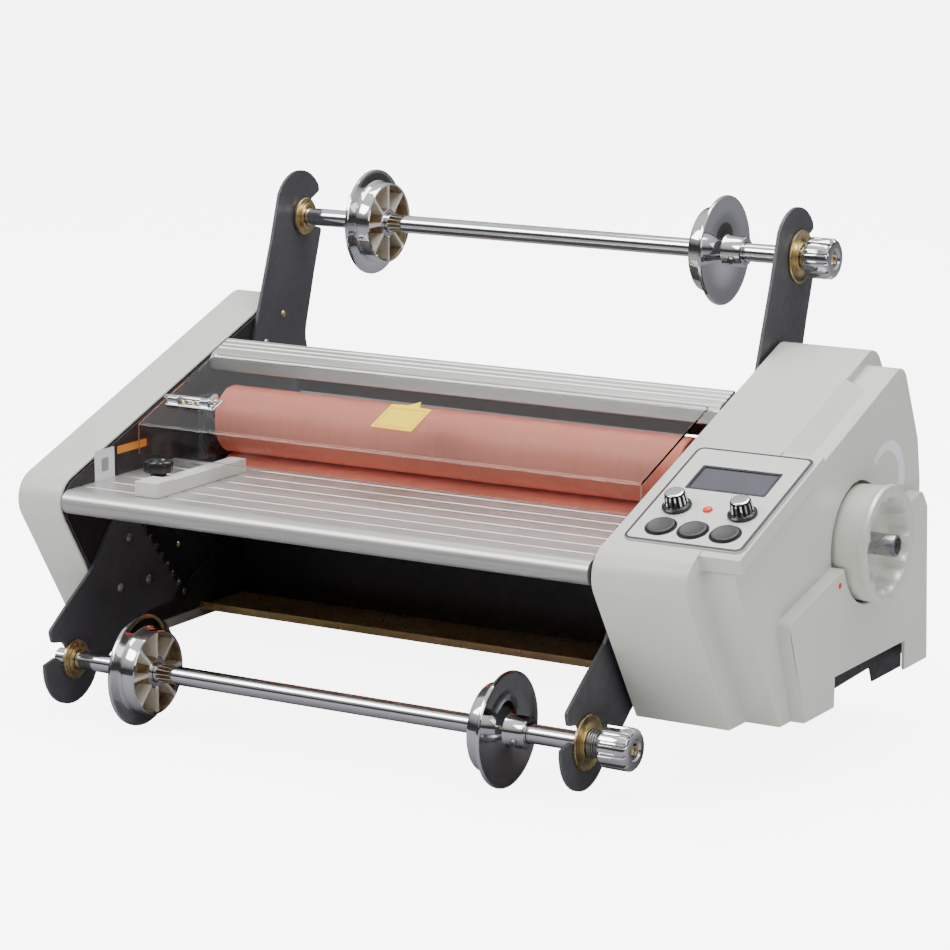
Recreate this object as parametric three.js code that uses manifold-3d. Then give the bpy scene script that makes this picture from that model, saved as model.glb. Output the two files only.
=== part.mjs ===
// Heated roll laminator: a bench machine that presses film from two supply rolls onto a sheet.
// Millimetres, +Z up, +X to the operator's right, the operator stands at -Y.
// All pieces are drawn from one datum, the axis of the upper film shaft at the inner face of the
// left frame arm, and the outer group moves them to the part's frame (floor centre of its box).

import * as THREE from 'three';
import { mergeVertices } from 'three/addons/utils/BufferGeometryUtils.js';
import Module from 'manifold-3d';

const wasm = await Module();
wasm.setup();

// ---------------------------------------------------------------- driving dimensions

const GAP = 0.3;                       // air between two pieces that touch
const DATUM = { x: -314.75, y: 185.75, z: 398.5 };    // datum point in the part's frame

const ARM = 3;                         // film arm thickness
const WALL = 3;                        // moulded cover wall

const LEFT_COVER = [-50, -2.6];        // X spans, outer side first
const LEFT_PLATE = [-2.3, -0.3];
const LEFT_ARM = [0, ARM];
const RIGHT_UPPER_ARM = [520.1, 523.1];
const RIGHT_LOWER_ARM = [516.2, 519.2];    // stands off the plate on bosses
const RIGHT_PLATE = [523.4, 525.4];
const RIGHT_COVER = [525.7, 612, 643, 655];        // full band, recessed band, raised foot

const SLOPE = Math.atan(0.376);        // lean of the covers' upper face and of the console
const SLOPE_HEAD = { y: -76, z: -80 }; // a point at the head of that face
const COVER_BOTTOM = -344;

const UPPER_SHAFT = { y: 0, z: 0 };
const LOWER_SHAFT = { y: -371.5, z: -349.5 };
const SHAFT_R = 8.25;
const SHAFT_ENDS = [-13, 545];

const HEAT = { y: -153, upper: -168, lower: -229, r: 30 };
const PULL = { y: -71, upper: -178, lower: -219, r: 20 };
const RUBBER = [25, 500];
const LIFT = 4;                        // the upper heat roller rises this far

const TABLE_TOP = -198;
const WHEEL = { y: -128, z: -216 };    // pressure handwheel axis

const MODULE = 61 / 30;                // gear module: two 30-tooth gears fit the roller spacing
const GEARS_X = [-13.5, -5.5];

// ---------------------------------------------------------------- materials

const finish = (color, roughness, metalness) =>
  new THREE.MeshStandardMaterial({ color, roughness, metalness });

const COVER_GREY = finish(0xd2d2cc, 0.55, 0);
const FRAME_BLACK = finish(0x2a2a2d, 0.5, 0.2);
const ARM_GREY = finish(0x4c4c52, 0.45, 0.3);
const CHROME = finish(0xdcdcdc, 0.08, 1);
const STEEL = finish(0xa8a8aa, 0.3, 1);
const BRASS = finish(0xc8a864, 0.3, 1);
const ALUMINIUM = finish(0xc6c6c2, 0.35, 0.8);
const SILICONE = finish(0xd07a62, 0.6, 0);
const BLACK_PLASTIC = finish(0x18181a, 0.4, 0);
const CLEAR_SHEET = finish(0xdfe4e6, 0.05, 0);
const ZINC = finish(0xc0a060, 0.4, 0.8);
const PANEL_GREY = finish(0xd8d8d2, 0.5, 0);
const SCREEN = finish(0x72727c, 0.2, 0);
const RED_LAMP = finish(0xd83020, 0.3, 0);
const HANDWHEEL_SILVER = finish(0xd6d6cc, 0.35, 0.6);
const BOARD_GREEN = finish(0x2f6a45, 0.6, 0);
const DARK_GREY = finish(0x5a5a5e, 0.6, 0);

// ---------------------------------------------------------------- outlines

// Turns corners [u, v, fillet radius] into points, with an arc at each corner that has a radius.
function filleted(corners, degreesPerStep = 14) {
  const points = [];
  corners.forEach(([u, v, radius = 0], i) => {
    if (!radius) {
      points.push([u, v]);
      return;
    }
    const corner = new THREE.Vector2(u, v);
    const before = corners[(i + corners.length - 1) % corners.length];
    const after = corners[(i + 1) % corners.length];
    const back = new THREE.Vector2(before[0], before[1]).sub(corner).normalize();
    const ahead = new THREE.Vector2(after[0], after[1]).sub(corner).normalize();
    const half = Math.acos(back.dot(ahead)) / 2;
    const centre = back.clone().add(ahead).normalize().multiplyScalar(radius / Math.sin(half));
    centre.add(corner);
    const start = back.clone().multiplyScalar(radius / Math.tan(half)).add(corner).sub(centre);
    const end = ahead.clone().multiplyScalar(radius / Math.tan(half)).add(corner).sub(centre);
    points.push(...arc([centre.x, centre.y], radius, start.angle(), shortTurn(start, end), degreesPerStep));
  });
  return points;
}

function shortTurn(start, end) {
  const turn = end.angle() - start.angle();
  return Math.atan2(Math.sin(turn), Math.cos(turn));
}

function arc([u, v], radius, from, turn, degreesPerStep = 14) {
  const steps = Math.max(2, Math.ceil(Math.abs(THREE.MathUtils.radToDeg(turn)) / degreesPerStep));
  return Array.from({ length: steps + 1 }, (_, i) => {
    const angle = from + (turn * i) / steps;
    return [u + radius * Math.cos(angle), v + radius * Math.sin(angle)];
  });
}

function circle(centre, radius, sides = 24) {
  return arc(centre, radius, 0, 2 * Math.PI * (1 - 1 / sides), 360 / sides + 1e-6);
}

// Moves every edge of a counter-clockwise polygon of corners inwards by a distance.
function inset(corners, distance) {
  const edges = corners.map(([u, v], i) => {
    const [nextU, nextV] = corners[(i + 1) % corners.length];
    const along = new THREE.Vector2(nextU - u, nextV - v).normalize();
    const inward = new THREE.Vector2(-along.y, along.x);
    return { along, point: new THREE.Vector2(u, v).addScaledVector(inward, distance) };
  });
  return corners.map(([, , radius = 0], i) => {
    const a = edges[(i + corners.length - 1) % corners.length];
    const b = edges[i];
    const across = b.point.clone().sub(a.point).cross(b.along) / a.along.cross(b.along);
    const meeting = a.point.clone().addScaledVector(a.along, across);
    return [meeting.x, meeting.y, Math.max(0, radius - distance)];
  });
}

const rectangle = (u0, u1, v0, v1) => [[u0, v0], [u1, v0], [u1, v1], [u0, v1]];

// ---------------------------------------------------------------- solids

function solid(geometry) {
  const bare = geometry.clone();
  bare.deleteAttribute('normal');
  bare.deleteAttribute('uv');
  const merged = mergeVertices(bare, 1e-4);
  return new wasm.Manifold(new wasm.Mesh({
    numProp: 3,
    vertProperties: new Float32Array(merged.attributes.position.array),
    triVerts: new Uint32Array(merged.index.array),
  }));
}

function geometryOf(manifold) {
  const { vertProperties, triVerts } = manifold.getMesh();
  const geometry = new THREE.BufferGeometry();
  geometry.setAttribute('position', new THREE.BufferAttribute(vertProperties, 3));
  geometry.setIndex(new THREE.BufferAttribute(triVerts, 1));
  return geometry;
}

function shapeOf(outline, holes) {
  const shape = new THREE.Shape(outline.map(([u, v]) => new THREE.Vector2(u, v)));
  holes.forEach((hole) => shape.holes.push(new THREE.Path(hole.map(([u, v]) => new THREE.Vector2(u, v)))));
  return shape;
}

function extruded(outline, [low, high], holes = []) {
  const flat = shapeOf(outline, holes);
  const geometry = new THREE.ExtrudeGeometry(flat, { depth: high - low, bevelEnabled: false });
  return geometry.translate(0, 0, low);
}

// A prism along Z of an outline in X, Y.
const prismZ = (outline, span, holes) => solid(extruded(outline, span, holes));

// A prism along X of an outline in Y, Z.
function prismX(outline, span, holes) {
  const turn = new THREE.Matrix4().makeBasis(
    new THREE.Vector3(0, 1, 0), new THREE.Vector3(0, 0, 1), new THREE.Vector3(1, 0, 0));
  return solid(extruded(outline, span, holes).applyMatrix4(turn));
}

const block = (x, y, z) => prismX(rectangle(y[0], y[1], z[0], z[1]), x);

// A solid of revolution about the X axis through (y, z), from a closed profile of [x, radius].
function turnedX(profile, { y, z }, sides = 24) {
  const points = [...profile, profile[0]].map(([x, r]) => new THREE.Vector2(r, x));
  const geometry = new THREE.LatheGeometry(points, sides);
  const turn = new THREE.Matrix4().makeBasis(
    new THREE.Vector3(0, 1, 0), new THREE.Vector3(1, 0, 0), new THREE.Vector3(0, 0, -1));
  return solid(geometry.applyMatrix4(turn).translate(0, y, z));
}

// The same about the Z axis, from a closed profile of [z, radius].
function turnedZ(profile, x, y, z, sides = 24) {
  const points = [...profile, profile[0]].map(([height, r]) => new THREE.Vector2(r, height));
  const geometry = new THREE.LatheGeometry(points, sides).rotateX(Math.PI / 2);
  return solid(geometry.translate(x, y, z));
}

const rod = ([low, high], radius, at, sides) =>
  turnedX([[low, 0], [low, radius], [high, radius], [high, 0]], at, sides);

// ---------------------------------------------------------------- scene

const machine = new THREE.Group();
const assembly = new THREE.Group();
assembly.position.set(DATUM.x, DATUM.y, DATUM.z);
machine.add(assembly);

function add(name, manifold, material, parent = assembly) {
  const mesh = new THREE.Mesh(geometryOf(manifold), material);
  mesh.name = name;
  parent.add(mesh);
}

// ---------------------------------------------------------------- the sloping face

// Its frame: X across, Y up the slope, Z out of the face. "down" is measured down from its head.
const ontoSlope = (geometry) => solid(geometry.rotateX(SLOPE).translate(0, SLOPE_HEAD.y, SLOPE_HEAD.z));

const slopeBlock = (x, down, out) => ontoSlope(extruded(rectangle(x[0], x[1], -down[1], -down[0]), out));

// A bar that runs down the slope, of an outline in X and height above the face.
const slopeBar = (outline, down) => ontoSlope(extruded(outline, down).rotateX(Math.PI / 2));

// ---------------------------------------------------------------- covers

// Side views of the covers, counter-clockwise with Y to the right and Z up.
const FULL_BAND = [
  [-300, COVER_BOTTOM],
  [6, COVER_BOTTOM],
  [2, -150],
  [-9, -97, 40],
  [-30, -65, 22],
  [-391, -198, 25],
];
const RECESSED_BAND = [
  [-270.4, COVER_BOTTOM],
  [2, COVER_BOTTOM],
  [-0.5, -185],
  [-7, -148],
  [-26, -107, 30],
  [-40, -77.1, 16],
  [-361.4, -198, 15],
];
const RAISED_FOOT = [
  [-250, COVER_BOTTOM],
  [-3, COVER_BOTTOM],
  [-10, -206],
  [-22, -190, 10],
  [-283, -254, 8],
];
const HAND_HOLD = { y: [-193, -52], z: [COVER_BOTTOM - 20, -318] };
const CONSOLE = { x: [611, 648], down: [140, 302], depth: 14 };
const CONSOLE_OPENING = { x: [546, 638], down: [157, 287] };
const WHEEL_WELL = { r: 51.5, floor: 630, hole: 7 };

// The first two corners are the lower ones: each moves along its own side edge to a new height.
function stretchedDown(corners, bottom) {
  const moved = ([y, z], [nextY, nextZ]) => [y + ((y - nextY) * (bottom - z)) / (z - nextZ), bottom];
  const [front, rear, ...upper] = corners;
  return [moved(front, upper[upper.length - 1]), moved(rear, upper[0]), ...upper];
}

// The room inside a cover, open underneath.
const hollow = (corners, span) =>
  prismX(filleted(stretchedDown(inset(corners, WALL), COVER_BOTTOM - 20)), span);

const handHold = (span) => block(span, HAND_HOLD.y, HAND_HOLD.z);

function leftCover() {
  return prismX(filleted(FULL_BAND), LEFT_COVER)
    .subtract(hollow(FULL_BAND, [LEFT_COVER[0] + WALL, LEFT_COVER[1] + 1]))
    .subtract(handHold([LEFT_COVER[0] - 1, LEFT_COVER[0] + WALL + 1]));
}

function rightCover() {
  const [inner, edge, side, foot] = RIGHT_COVER;
  const shoulder = [[edge - 1, -11], [side - 12, -11], [edge, 0], [edge - 1, 0]];
  const well = rod([WHEEL_WELL.floor, foot + 1], WHEEL_WELL.r, WHEEL, 40);
  const cup = rod([WHEEL_WELL.floor - WALL, foot + 1], WHEEL_WELL.r + WALL, WHEEL, 40);
  const cavity = hollow(FULL_BAND, [inner - 1, edge - WALL])
    .add(hollow(RECESSED_BAND, [inner - 1, side - WALL]))
    .add(hollow(RAISED_FOOT, [side - WALL - 1, foot - WALL]))
    .subtract(cup);
  return prismX(filleted(FULL_BAND), [inner, edge])
    .add(prismX(filleted(RECESSED_BAND), [edge - 1, side]))
    .add(prismX(filleted(RAISED_FOOT), [side - 1, foot]))
    .add(slopeBar(shoulder, [16, CONSOLE.down[0] + 4]))
    .add(slopeBlock(CONSOLE.x, CONSOLE.down, [-CONSOLE.depth, 0]))
    .subtract(cavity)
    .subtract(well)
    .subtract(rod([WHEEL_WELL.floor - 10, foot], WHEEL_WELL.hole, WHEEL))
    .subtract(slopeBlock(CONSOLE_OPENING.x, CONSOLE_OPENING.down, [-22, 5]))
    .subtract(handHold([side - 8, foot + 1]));
}

// ---------------------------------------------------------------- side plates and film arms

const LIFT_SLOT_R = 10.8;
const PLATE_BOTTOM = -345;
const CABLE_SLOT = [[-138, -285], [-192, -312]];
const HOLE_ROW = { from: [-258, -254], to: [-199, -325], count: 8, r: 2 };

// A slot with round ends between two points.
function slot([[u0, v0], [u1, v1]], radius) {
  const across = Math.atan2(v1 - v0, u1 - u0) - Math.PI / 2;
  const halfRound = (centre, from) => arc(centre, radius, from, Math.PI, 30);
  return [...halfRound([u1, v1], across), ...halfRound([u0, v0], across + Math.PI)];
}

function sidePlate(span, extraHoles) {
  const outline = stretchedDown(inset(FULL_BAND, WALL + 0.6), PLATE_BOTTOM);
  const holes = [
    circle([HEAT.y, HEAT.lower], 10.5),
    slot([[HEAT.y, HEAT.upper], [HEAT.y, HEAT.upper + LIFT]], LIFT_SLOT_R),
    circle([PULL.y, PULL.upper], 8.5, 20),
    circle([PULL.y, PULL.lower], 8.5, 20),
    ...extraHoles,
  ];
  return prismX(filleted(outline), span, holes);
}

function holeRow({ from, to, count, r }) {
  return Array.from({ length: count }, (_, i) => {
    const t = i / (count - 1);
    return circle([from[0] + t * (to[0] - from[0]), from[1] + t * (to[1] - from[1])], r, 8);
  });
}

// The upper arm is a hook that opens to the rear; its foot is screwed to the side plate.
const UPPER_ARM = [
  [6, -130, 3],
  [0, -115, 30],
  [18, -54, 40],
  [31, -15, 3],
  [9, -8.6],
  ...arc([0, 0], 9.2, -1.2, -2 * Math.PI + 2.4 + 0.35, 20),
  [12, 14, 2],
  [28, 21, 3],
  ...arc([-6, 4], 40, 0.62, 1.95, 12),
  [-53, -17, 20],
  [-79, -89, 60],
  [-86, -112, 3],
  [-75, -141, 4],
  [-12, -141, 4],
];

// The lower arm is a hook that opens to the front, with a round lobe under its shaft.
const LOWER_LOBE = [-373.5, -350];
const LOWER_LOBE_R = 39.2;
const LOWER_ARM = [
  [-341, -274, 3],
  [-378, -299, 6],
  [-404, -318, 4],
  [-401, -329, 3],
  [-386, -331.5],
  [-377.2, -342.3],
  ...arc([LOWER_SHAFT.y, LOWER_SHAFT.z], 9.2, 2.2, -4.3, 20),
  [-381, -353],
  [-397, -343, 3],
  ...arc(LOWER_LOBE, LOWER_LOBE_R, 3.05, 2.75, 11),
  [-315, -355, 20],
  [-292, -337, 20],
  [-253, -329, 10],
  [-222, -328, 3],
  [-212, -318, 3],
  [-267, -250, 4],
  [-267, -223, 3],
  [-298, -223, 3],
];

function arm(corners, span, bosses = []) {
  const boss = ([y, z]) => rod([span[1] - 1, RIGHT_PLATE[0] - GAP], 7, { y, z }, 16);
  return bosses.reduce((body, place) => body.add(boss(place)), prismX(filleted(corners), span));
}

// ---------------------------------------------------------------- base, walls and rail

const UNDER_ROLLERS = { front: -175, back: -6, floor: -347, sheet: 1.6 };
const BETWEEN_PLATES = [LEFT_PLATE[1] + GAP, RIGHT_PLATE[0] - GAP];
const RUNNER = { y: [-240, -12], z: [-355, PLATE_BOTTOM - GAP], left: [-14, -0.4], right: [523.5, 537] };

function bottomPan() {
  const { front, back, floor, sheet } = UNDER_ROLLERS;
  const section = [
    [front, floor], [back, floor], [back, floor + sheet], [front + sheet, floor + sheet],
    [front + sheet, floor + 7], [front, floor + 7],
  ];
  return prismX(section, BETWEEN_PLATES);
}

const innerWall = () => block([BETWEEN_PLATES[0] + 1, BETWEEN_PLATES[1] - 1], [-104, -102.4], [-345, -244]);

function topRail() {
  const grooved = [[-121, -99, 2]];
  for (const y of [-127, -133, -139]) {
    const z = -99 + 0.376 * (y + 121);
    grooved.push([y + 0.8, z + 0.3], [y, z - 1], [y - 0.8, z - 0.3]);
  }
  grooved.push([-148, -109, 5], [-152, -114, 3], [-152, -126, 2], [-121, -126, 2]);
  return prismX(filleted(grooved, 30), BETWEEN_PLATES);
}

function rearHood() {
  const top = [[-116, -104], [-20, -141], [-13, -166]];
  const under = [[-14.6, -166.4], [-21.2, -142.4], [-116, -106.2]];
  const vents = [-96, -84, -72, -60].map((y) => slotAcross(y));
  const sheet = prismX([...under.reverse(), ...top.reverse()], SHIELD_X);
  return vents.reduce((hood, vent) => hood.subtract(vent), sheet);
}

// A row of cooling slots through the hood at one depth.
function slotAcross(y) {
  return [70, 220, 370].map((x) => block([x, x + 90], [y, y + 4], [-150, -90])).reduce((a, b) => a.add(b));
}

const INLET = { x: [470, 497], z: [-325, -302] };
const SWITCH = { x: [436, 456], z: [-329, -298] };

function rearPanel() {
  const cut = ({ x, z }) => block(x, [-10, 10], z);
  return block(BETWEEN_PLATES, [-5.6, -4], [-344, -246]).subtract(cut(INLET)).subtract(cut(SWITCH));
}

function powerInlet() {
  const { x, z } = INLET;
  const body = block([x[0] + GAP, x[1] - GAP], [-28, -3.7], [z[0] + GAP, z[1] - GAP]);
  const flange = block([x[0] - 4, x[1] + 4], [-3.7, -1.2], [z[0] - 3, z[1] + 3]);
  const socket = block([x[0] + 3, x[1] - 3], [-20, 0], [z[0] + 4, z[1] - 4]);
  return body.add(flange).subtract(socket);
}

// The rocker stands in its off place, with the lower half of its face proud.
function rockerSwitch() {
  const [low, high] = [SWITCH.z[0] + 2.5, SWITCH.z[1] - 2.5];
  const face = [[-0.6, low], [-3, (low + high) / 2], [-3.6, high]];
  return prismX([[-12, low], ...face, [-12, high]], [SWITCH.x[0] + 1, SWITCH.x[1] - 1]);
}

// ---------------------------------------------------------------- feed table, guide and shield

const TABLE = { front: -380, back: -206, nose: 21, plate: 5, grooves: 6 };

function feedTable() {
  const { front, back, nose, plate, grooves } = TABLE;
  const top = [];
  for (let i = 0; i < grooves; i += 1) {
    const y = back - 12 - (i * (back - front - 40)) / (grooves - 1);
    top.push([y + 1.2, TABLE_TOP], [y + 0.8, TABLE_TOP - 0.8]);
    top.push([y - 0.8, TABLE_TOP - 0.8], [y - 1.2, TABLE_TOP]);
  }
  return prismX(filleted([
    [back, TABLE_TOP],
    ...top,
    [front, TABLE_TOP, nose / 2 - 0.1],
    [front, TABLE_TOP - nose, nose / 2 - 0.1],
    [front + 30, TABLE_TOP - nose, 1.5],
    [front + 30, TABLE_TOP - plate],
    [back, TABLE_TOP - plate],
  ], 18), BETWEEN_PLATES);
}

const GUIDE = { edge: 90, width: 16, front: -362, back: -227, height: 12 };
const GUIDE_LUG = { x: 64, y: -324, r: 12, height: 7 };
const SHIELD_X = [6, 514];
const SHIELD_PIVOT = { y: -155.6, z: -111.5 };

function sideGuide() {
  const { edge, width, front, back, height } = GUIDE;
  const base = TABLE_TOP + GAP;
  const { x, y, r } = GUIDE_LUG;
  const bar = prismZ(rectangle(edge - width, edge, front + 10, back), [base, base + height]);
  const frontBlock = prismZ(rectangle(edge - width - 8, edge, front, front + 26), [base, base + height + 1]);
  const lug = prismZ(rectangle(x - r, edge - 1, y - r, y + r), [base, base + GUIDE_LUG.height]);
  const screwHole = turnedZ([[-5, 0], [-5, 3], [20, 3], [20, 0]], x, y, base, 12);
  return bar.add(frontBlock).add(lug).subtract(screwHole);
}

// A lobed clamp knob with its screw.
function guideClampKnob() {
  const foot = TABLE_TOP + GAP + GUIDE_LUG.height + GAP;
  const { x, y } = GUIDE_LUG;
  const grip = lobed([x, y], 12.5, 1.3, 8, 40);
  const neck = turnedZ([[0, 0], [0, 8], [7, 6.5], [7, 0]], x, y, foot, 20);
  const screw = turnedZ([[-6.5, 0], [-6.5, 2.6], [1, 2.6], [1, 0]], x, y, foot, 12);
  return neck.add(prismZ(grip, [foot + 6, foot + 17])).add(screw);
}

// A circle whose radius swells and sinks a number of times round.
function lobed([u, v], radius, swell, lobes, sides) {
  return Array.from({ length: sides }, (_, i) => {
    const angle = (2 * Math.PI * i) / sides;
    const r = radius + swell * Math.cos(lobes * angle);
    return [u + r * Math.cos(angle), v + r * Math.sin(angle)];
  });
}

// A bent clear sheet that hangs from a round bead in front of the rail.
function safetyShield() {
  const sheet = 2.4;
  const bend = { y: -274, z: -154.5 };
  const lip = -182;
  const section = [
    [SHIELD_PIVOT.y, SHIELD_PIVOT.z + sheet / 2],
    [bend.y, bend.z, 5],
    [bend.y, lip],
    [bend.y + sheet, lip],
    [bend.y + sheet, bend.z - 1.7, 2.6],
    [SHIELD_PIVOT.y, SHIELD_PIVOT.z - sheet / 2 - 0.2],
  ];
  return prismX(filleted(section, 20), SHIELD_X).add(rod(SHIELD_X, 2.6, SHIELD_PIVOT, 12));
}

const LATCH = { x: [12, 66], down: [160, 178], out: [0.1, 3.4] };

function shieldLatch() {
  const [left, right] = LATCH.x;
  const [head, foot] = LATCH.down;
  const face = LATCH.out[1] - 1;
  const bolt = slopeBlock([right - 9, right - 1], [head + 3, foot - 3], [face, 8]);
  const lever = slopeBlock([left - 4, left + 16], [foot - 6, foot - 2], [face, 7]);
  return slopeBlock(LATCH.x, LATCH.down, LATCH.out).add(bolt).add(lever);
}

// ---------------------------------------------------------------- rollers, lift and gears

// A hollow roller with journals; its heater lies in the bore.
function roller(at, { radius, journal, bore, ends }) {
  return turnedX([
    [ends[0], bore], [ends[0], journal], [RUBBER[0], journal], [RUBBER[0], radius],
    [RUBBER[1], radius], [RUBBER[1], journal], [ends[1], journal], [ends[1], bore],
  ], at, 20);
}

const heatRoller = (z) =>
  roller({ y: HEAT.y, z }, { radius: HEAT.r, journal: 10, bore: 7, ends: [-4.9, 534] });
const pullRoller = (z, left) =>
  roller({ y: PULL.y, z }, { radius: PULL.r, journal: 8, bore: 3, ends: [left, 530] });
const heater = (z) => rod([-8, 538], 4.5, { y: HEAT.y, z }, 12);

const LIFT_BLOCK = { y: [-178, -104], z: [-203.2, -146] };
const CAM = { r: 14, offset: 2, x: [526.2, 533.8] };

function liftBlock(span, y) {
  const bearing = circle([HEAT.y, HEAT.upper], 10.4);
  return prismX(rectangle(y[0], y[1], LIFT_BLOCK.z[0], LIFT_BLOCK.z[1]), span, [bearing]);
}

// The handwheel's axle carries an eccentric at its inner end, under the right lift block.
function handwheelAxle() {
  return rod([CAM.x[0], 669], 6, WHEEL, 20)
    .add(rod(CAM.x, CAM.r, { y: WHEEL.y, z: WHEEL.z - CAM.offset }, 32));
}

function gearOutline(teeth, centre, phase) {
  const pitchR = (MODULE * teeth) / 2;
  const pitch = (2 * Math.PI) / teeth;
  const flank = [[-1.05, 0.3], [0.72, 0.11]];       // height in modules, half width in pitches
  const points = [];
  for (let i = 0; i < teeth; i += 1) {
    for (const [[height, half], side] of [[flank[0], -1], [flank[1], -1], [flank[1], 1], [flank[0], 1]]) {
      const angle = phase + pitch * (i + side * half);
      const r = pitchR + height * MODULE;
      points.push([centre[0] + r * Math.cos(angle), centre[1] + r * Math.sin(angle)]);
    }
  }
  return points;
}

// The phase that sets a gear's gaps over its neighbour's teeth.
function meshedPhase(driver, teeth, centre) {
  const towards = Math.atan2(centre[1] - driver.centre[1], centre[0] - driver.centre[0]);
  const place = ((towards - driver.phase) * driver.teeth) / (2 * Math.PI);
  return towards + Math.PI - ((0.5 - place) * 2 * Math.PI) / teeth;
}

function meshed(driver, teeth, centre) {
  return { teeth, centre, phase: meshedPhase(driver, teeth, centre) };
}

const pitchDistance = (a, b) => (MODULE * (a + b)) / 2;

const heatGear = { teeth: 30, centre: [HEAT.y, HEAT.lower], phase: 0 };
const upperHeatGear = meshed(heatGear, 30, [HEAT.y, HEAT.upper]);

// The idler's centre is where circles round the two gears it joins cross, on the lower side.
function idlerCentre(from, reachFrom, to, reachTo) {
  const gap = Math.hypot(to[0] - from[0], to[1] - from[1]);
  const along = (gap ** 2 + reachFrom ** 2 - reachTo ** 2) / (2 * gap);
  const aside = Math.sqrt(reachFrom ** 2 - along ** 2);
  const unit = [(to[0] - from[0]) / gap, (to[1] - from[1]) / gap];
  return [from[0] + along * unit[0] + aside * unit[1], from[1] + along * unit[1] - aside * unit[0]];
}

const pullCentre = [PULL.y, PULL.lower];
const idlerPlace = idlerCentre(heatGear.centre, pitchDistance(30, 16), pullCentre, pitchDistance(16, 20));
const idler = meshed(heatGear, 16, idlerPlace);
const pullGear = meshed(idler, 20, pullCentre);
const pinion = meshed(pullGear, 15, [PULL.y + 5, PULL.lower - Math.sqrt(pitchDistance(20, 15) ** 2 - 25)]);

const toothed = ({ teeth, centre, phase }, boreR) =>
  prismX(gearOutline(teeth, centre, phase), GEARS_X, boreR ? [circle(centre, boreR, 16)] : []);

const pinned = (gear, radius, span) =>
  toothed(gear, 0).add(rod(span, radius, { y: gear.centre[0], z: gear.centre[1] }, 12));

const MOTOR = { y: [-96, -34], z: [-316, -243], gearbox: [4, 34], body: [33, 112], r: 25 };

function driveMotor() {
  const gearbox = block(MOTOR.gearbox, MOTOR.y, MOTOR.z);
  const centre = { y: (MOTOR.y[0] + MOTOR.y[1]) / 2, z: MOTOR.z[0] + 33 };
  const shaftHole = rod([0, 24], 6.6, { y: pinion.centre[0], z: pinion.centre[1] }, 20);
  return gearbox.add(rod(MOTOR.body, MOTOR.r, centre, 28)).subtract(shaftHole);
}

const powerSupply = () => block([150, 270], [-96, -16], [-341, -290]);

// ---------------------------------------------------------------- film shafts

const shaftSpan = (at, end) => rod(SHAFT_ENDS, SHAFT_R, at, 24).add(rod([SHAFT_ENDS[1] - 1, end], 5, at, 16));

// A flanged ring on a shaft: the flange's radius and thickness, then its boss's.
function collarRing(at, x, [flangeR, flange], [bossR, boss]) {
  return turnedX([
    [x, 9], [x, flangeR], [x + flange, flangeR], [x + flange, bossR], [x + boss, bossR], [x + boss, 9],
  ], at, 24);
}

const bush = (at) => collarRing(at, 3.3, [17.5, 3.3], [12.5, 6.1]);
const clutchDisc = (at, x) => collarRing(at, x, [23.5, 2], [13, 4]);

function tensionKnob(at, [inner, outer]) {
  const body = prismX(lobed([at.y, at.z], 17.4, 0.6, 12, 36), [inner, outer]);
  const barBore = rod([inner - 1, SHAFT_ENDS[1] + 1.5], 8.7, at, 24);
  const studBore = rod([inner, outer + 1], 5.4, at, 20);
  return body.subtract(barBore).subtract(studBore);
}

// A chuck: a domed flange, a cupped core plug with spokes, and a clamp collar on the outer side.
function chuck(at, flangeX, facing) {
  const along = (d) => flangeX + facing * d;
  const profile = [
    [-20, 8.7], [-20, 13.5], [1, 13.5], [3, 36], [0, 47], [0, 49], [4, 49], [5.5, 38], [20, 38],
    [20, 35], [5.5, 34.5], [5, 14], [19, 13], [19, 8.7],
  ].map(([d, r]) => [along(d), r]);
  const shell = turnedX(facing > 0 ? profile : profile.reverse(), at, 20);
  const spoke = (turn) => {
    const plate = extruded(rectangle(12.5, 35.5, -1.4, 1.4), [4, 19]).rotateZ(turn);
    const turnToX = new THREE.Matrix4().makeBasis(
      new THREE.Vector3(0, 1, 0), new THREE.Vector3(0, 0, facing), new THREE.Vector3(facing, 0, 0));
    return solid(plate.applyMatrix4(turnToX).translate(flangeX, at.y, at.z));
  };
  const turns = Array.from({ length: 6 }, (_, i) => (i * Math.PI) / 3);
  return turns.reduce((body, turn) => body.add(spoke(turn)), shell);
}

// ---------------------------------------------------------------- console and handwheel

const consoleFace = new THREE.Group();
consoleFace.position.set(0, SLOPE_HEAD.y, SLOPE_HEAD.z);
consoleFace.rotation.x = SLOPE;
assembly.add(consoleFace);

const PANEL = { x: [538, 645], down: [149, 293], out: [GAP, 1.8], corner: 7 };
const DISPLAY = { x: [556.5, 626.5], down: [177, 211], out: [-10, 1.4] };
const KNOBS = { x: [562.5, 621.5], down: 240.5 };
const LAMP = { x: 590, down: 240 };
const BUTTONS = { x: [563, 591.8, 620.6], down: 271, r: 12, travel: 1.5 };

function controlPanel() {
  const holes = [
    rectangle(DISPLAY.x[0] - GAP, DISPLAY.x[1] + GAP, -DISPLAY.down[1] - GAP, -DISPLAY.down[0] + GAP),
    ...KNOBS.x.map((x) => circle([x, -KNOBS.down], 4, 16)),
    circle([LAMP.x, -LAMP.down], 4.3, 16),
    ...BUTTONS.x.map((x) => circle([x, -BUTTONS.down], BUTTONS.r + 0.6, 20)),
  ];
  const corners = rectangle(...PANEL.x, -PANEL.down[1], -PANEL.down[0]);
  return prismZ(filleted(corners.map((corner) => [...corner, PANEL.corner]), 20), PANEL.out, holes);
}

const displayWindow = () =>
  prismZ(rectangle(...DISPLAY.x, -DISPLAY.down[1], -DISPLAY.down[0]), DISPLAY.out);

const controlKnob = (x) => turnedZ([
  [-14, 0], [-14, 3], [2.2, 3], [2.2, 12.5], [5, 12.5], [6, 9.6], [15.5, 8.4], [16.5, 7.4], [16.5, 0],
], x, -KNOBS.down, 0, 20);

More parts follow.
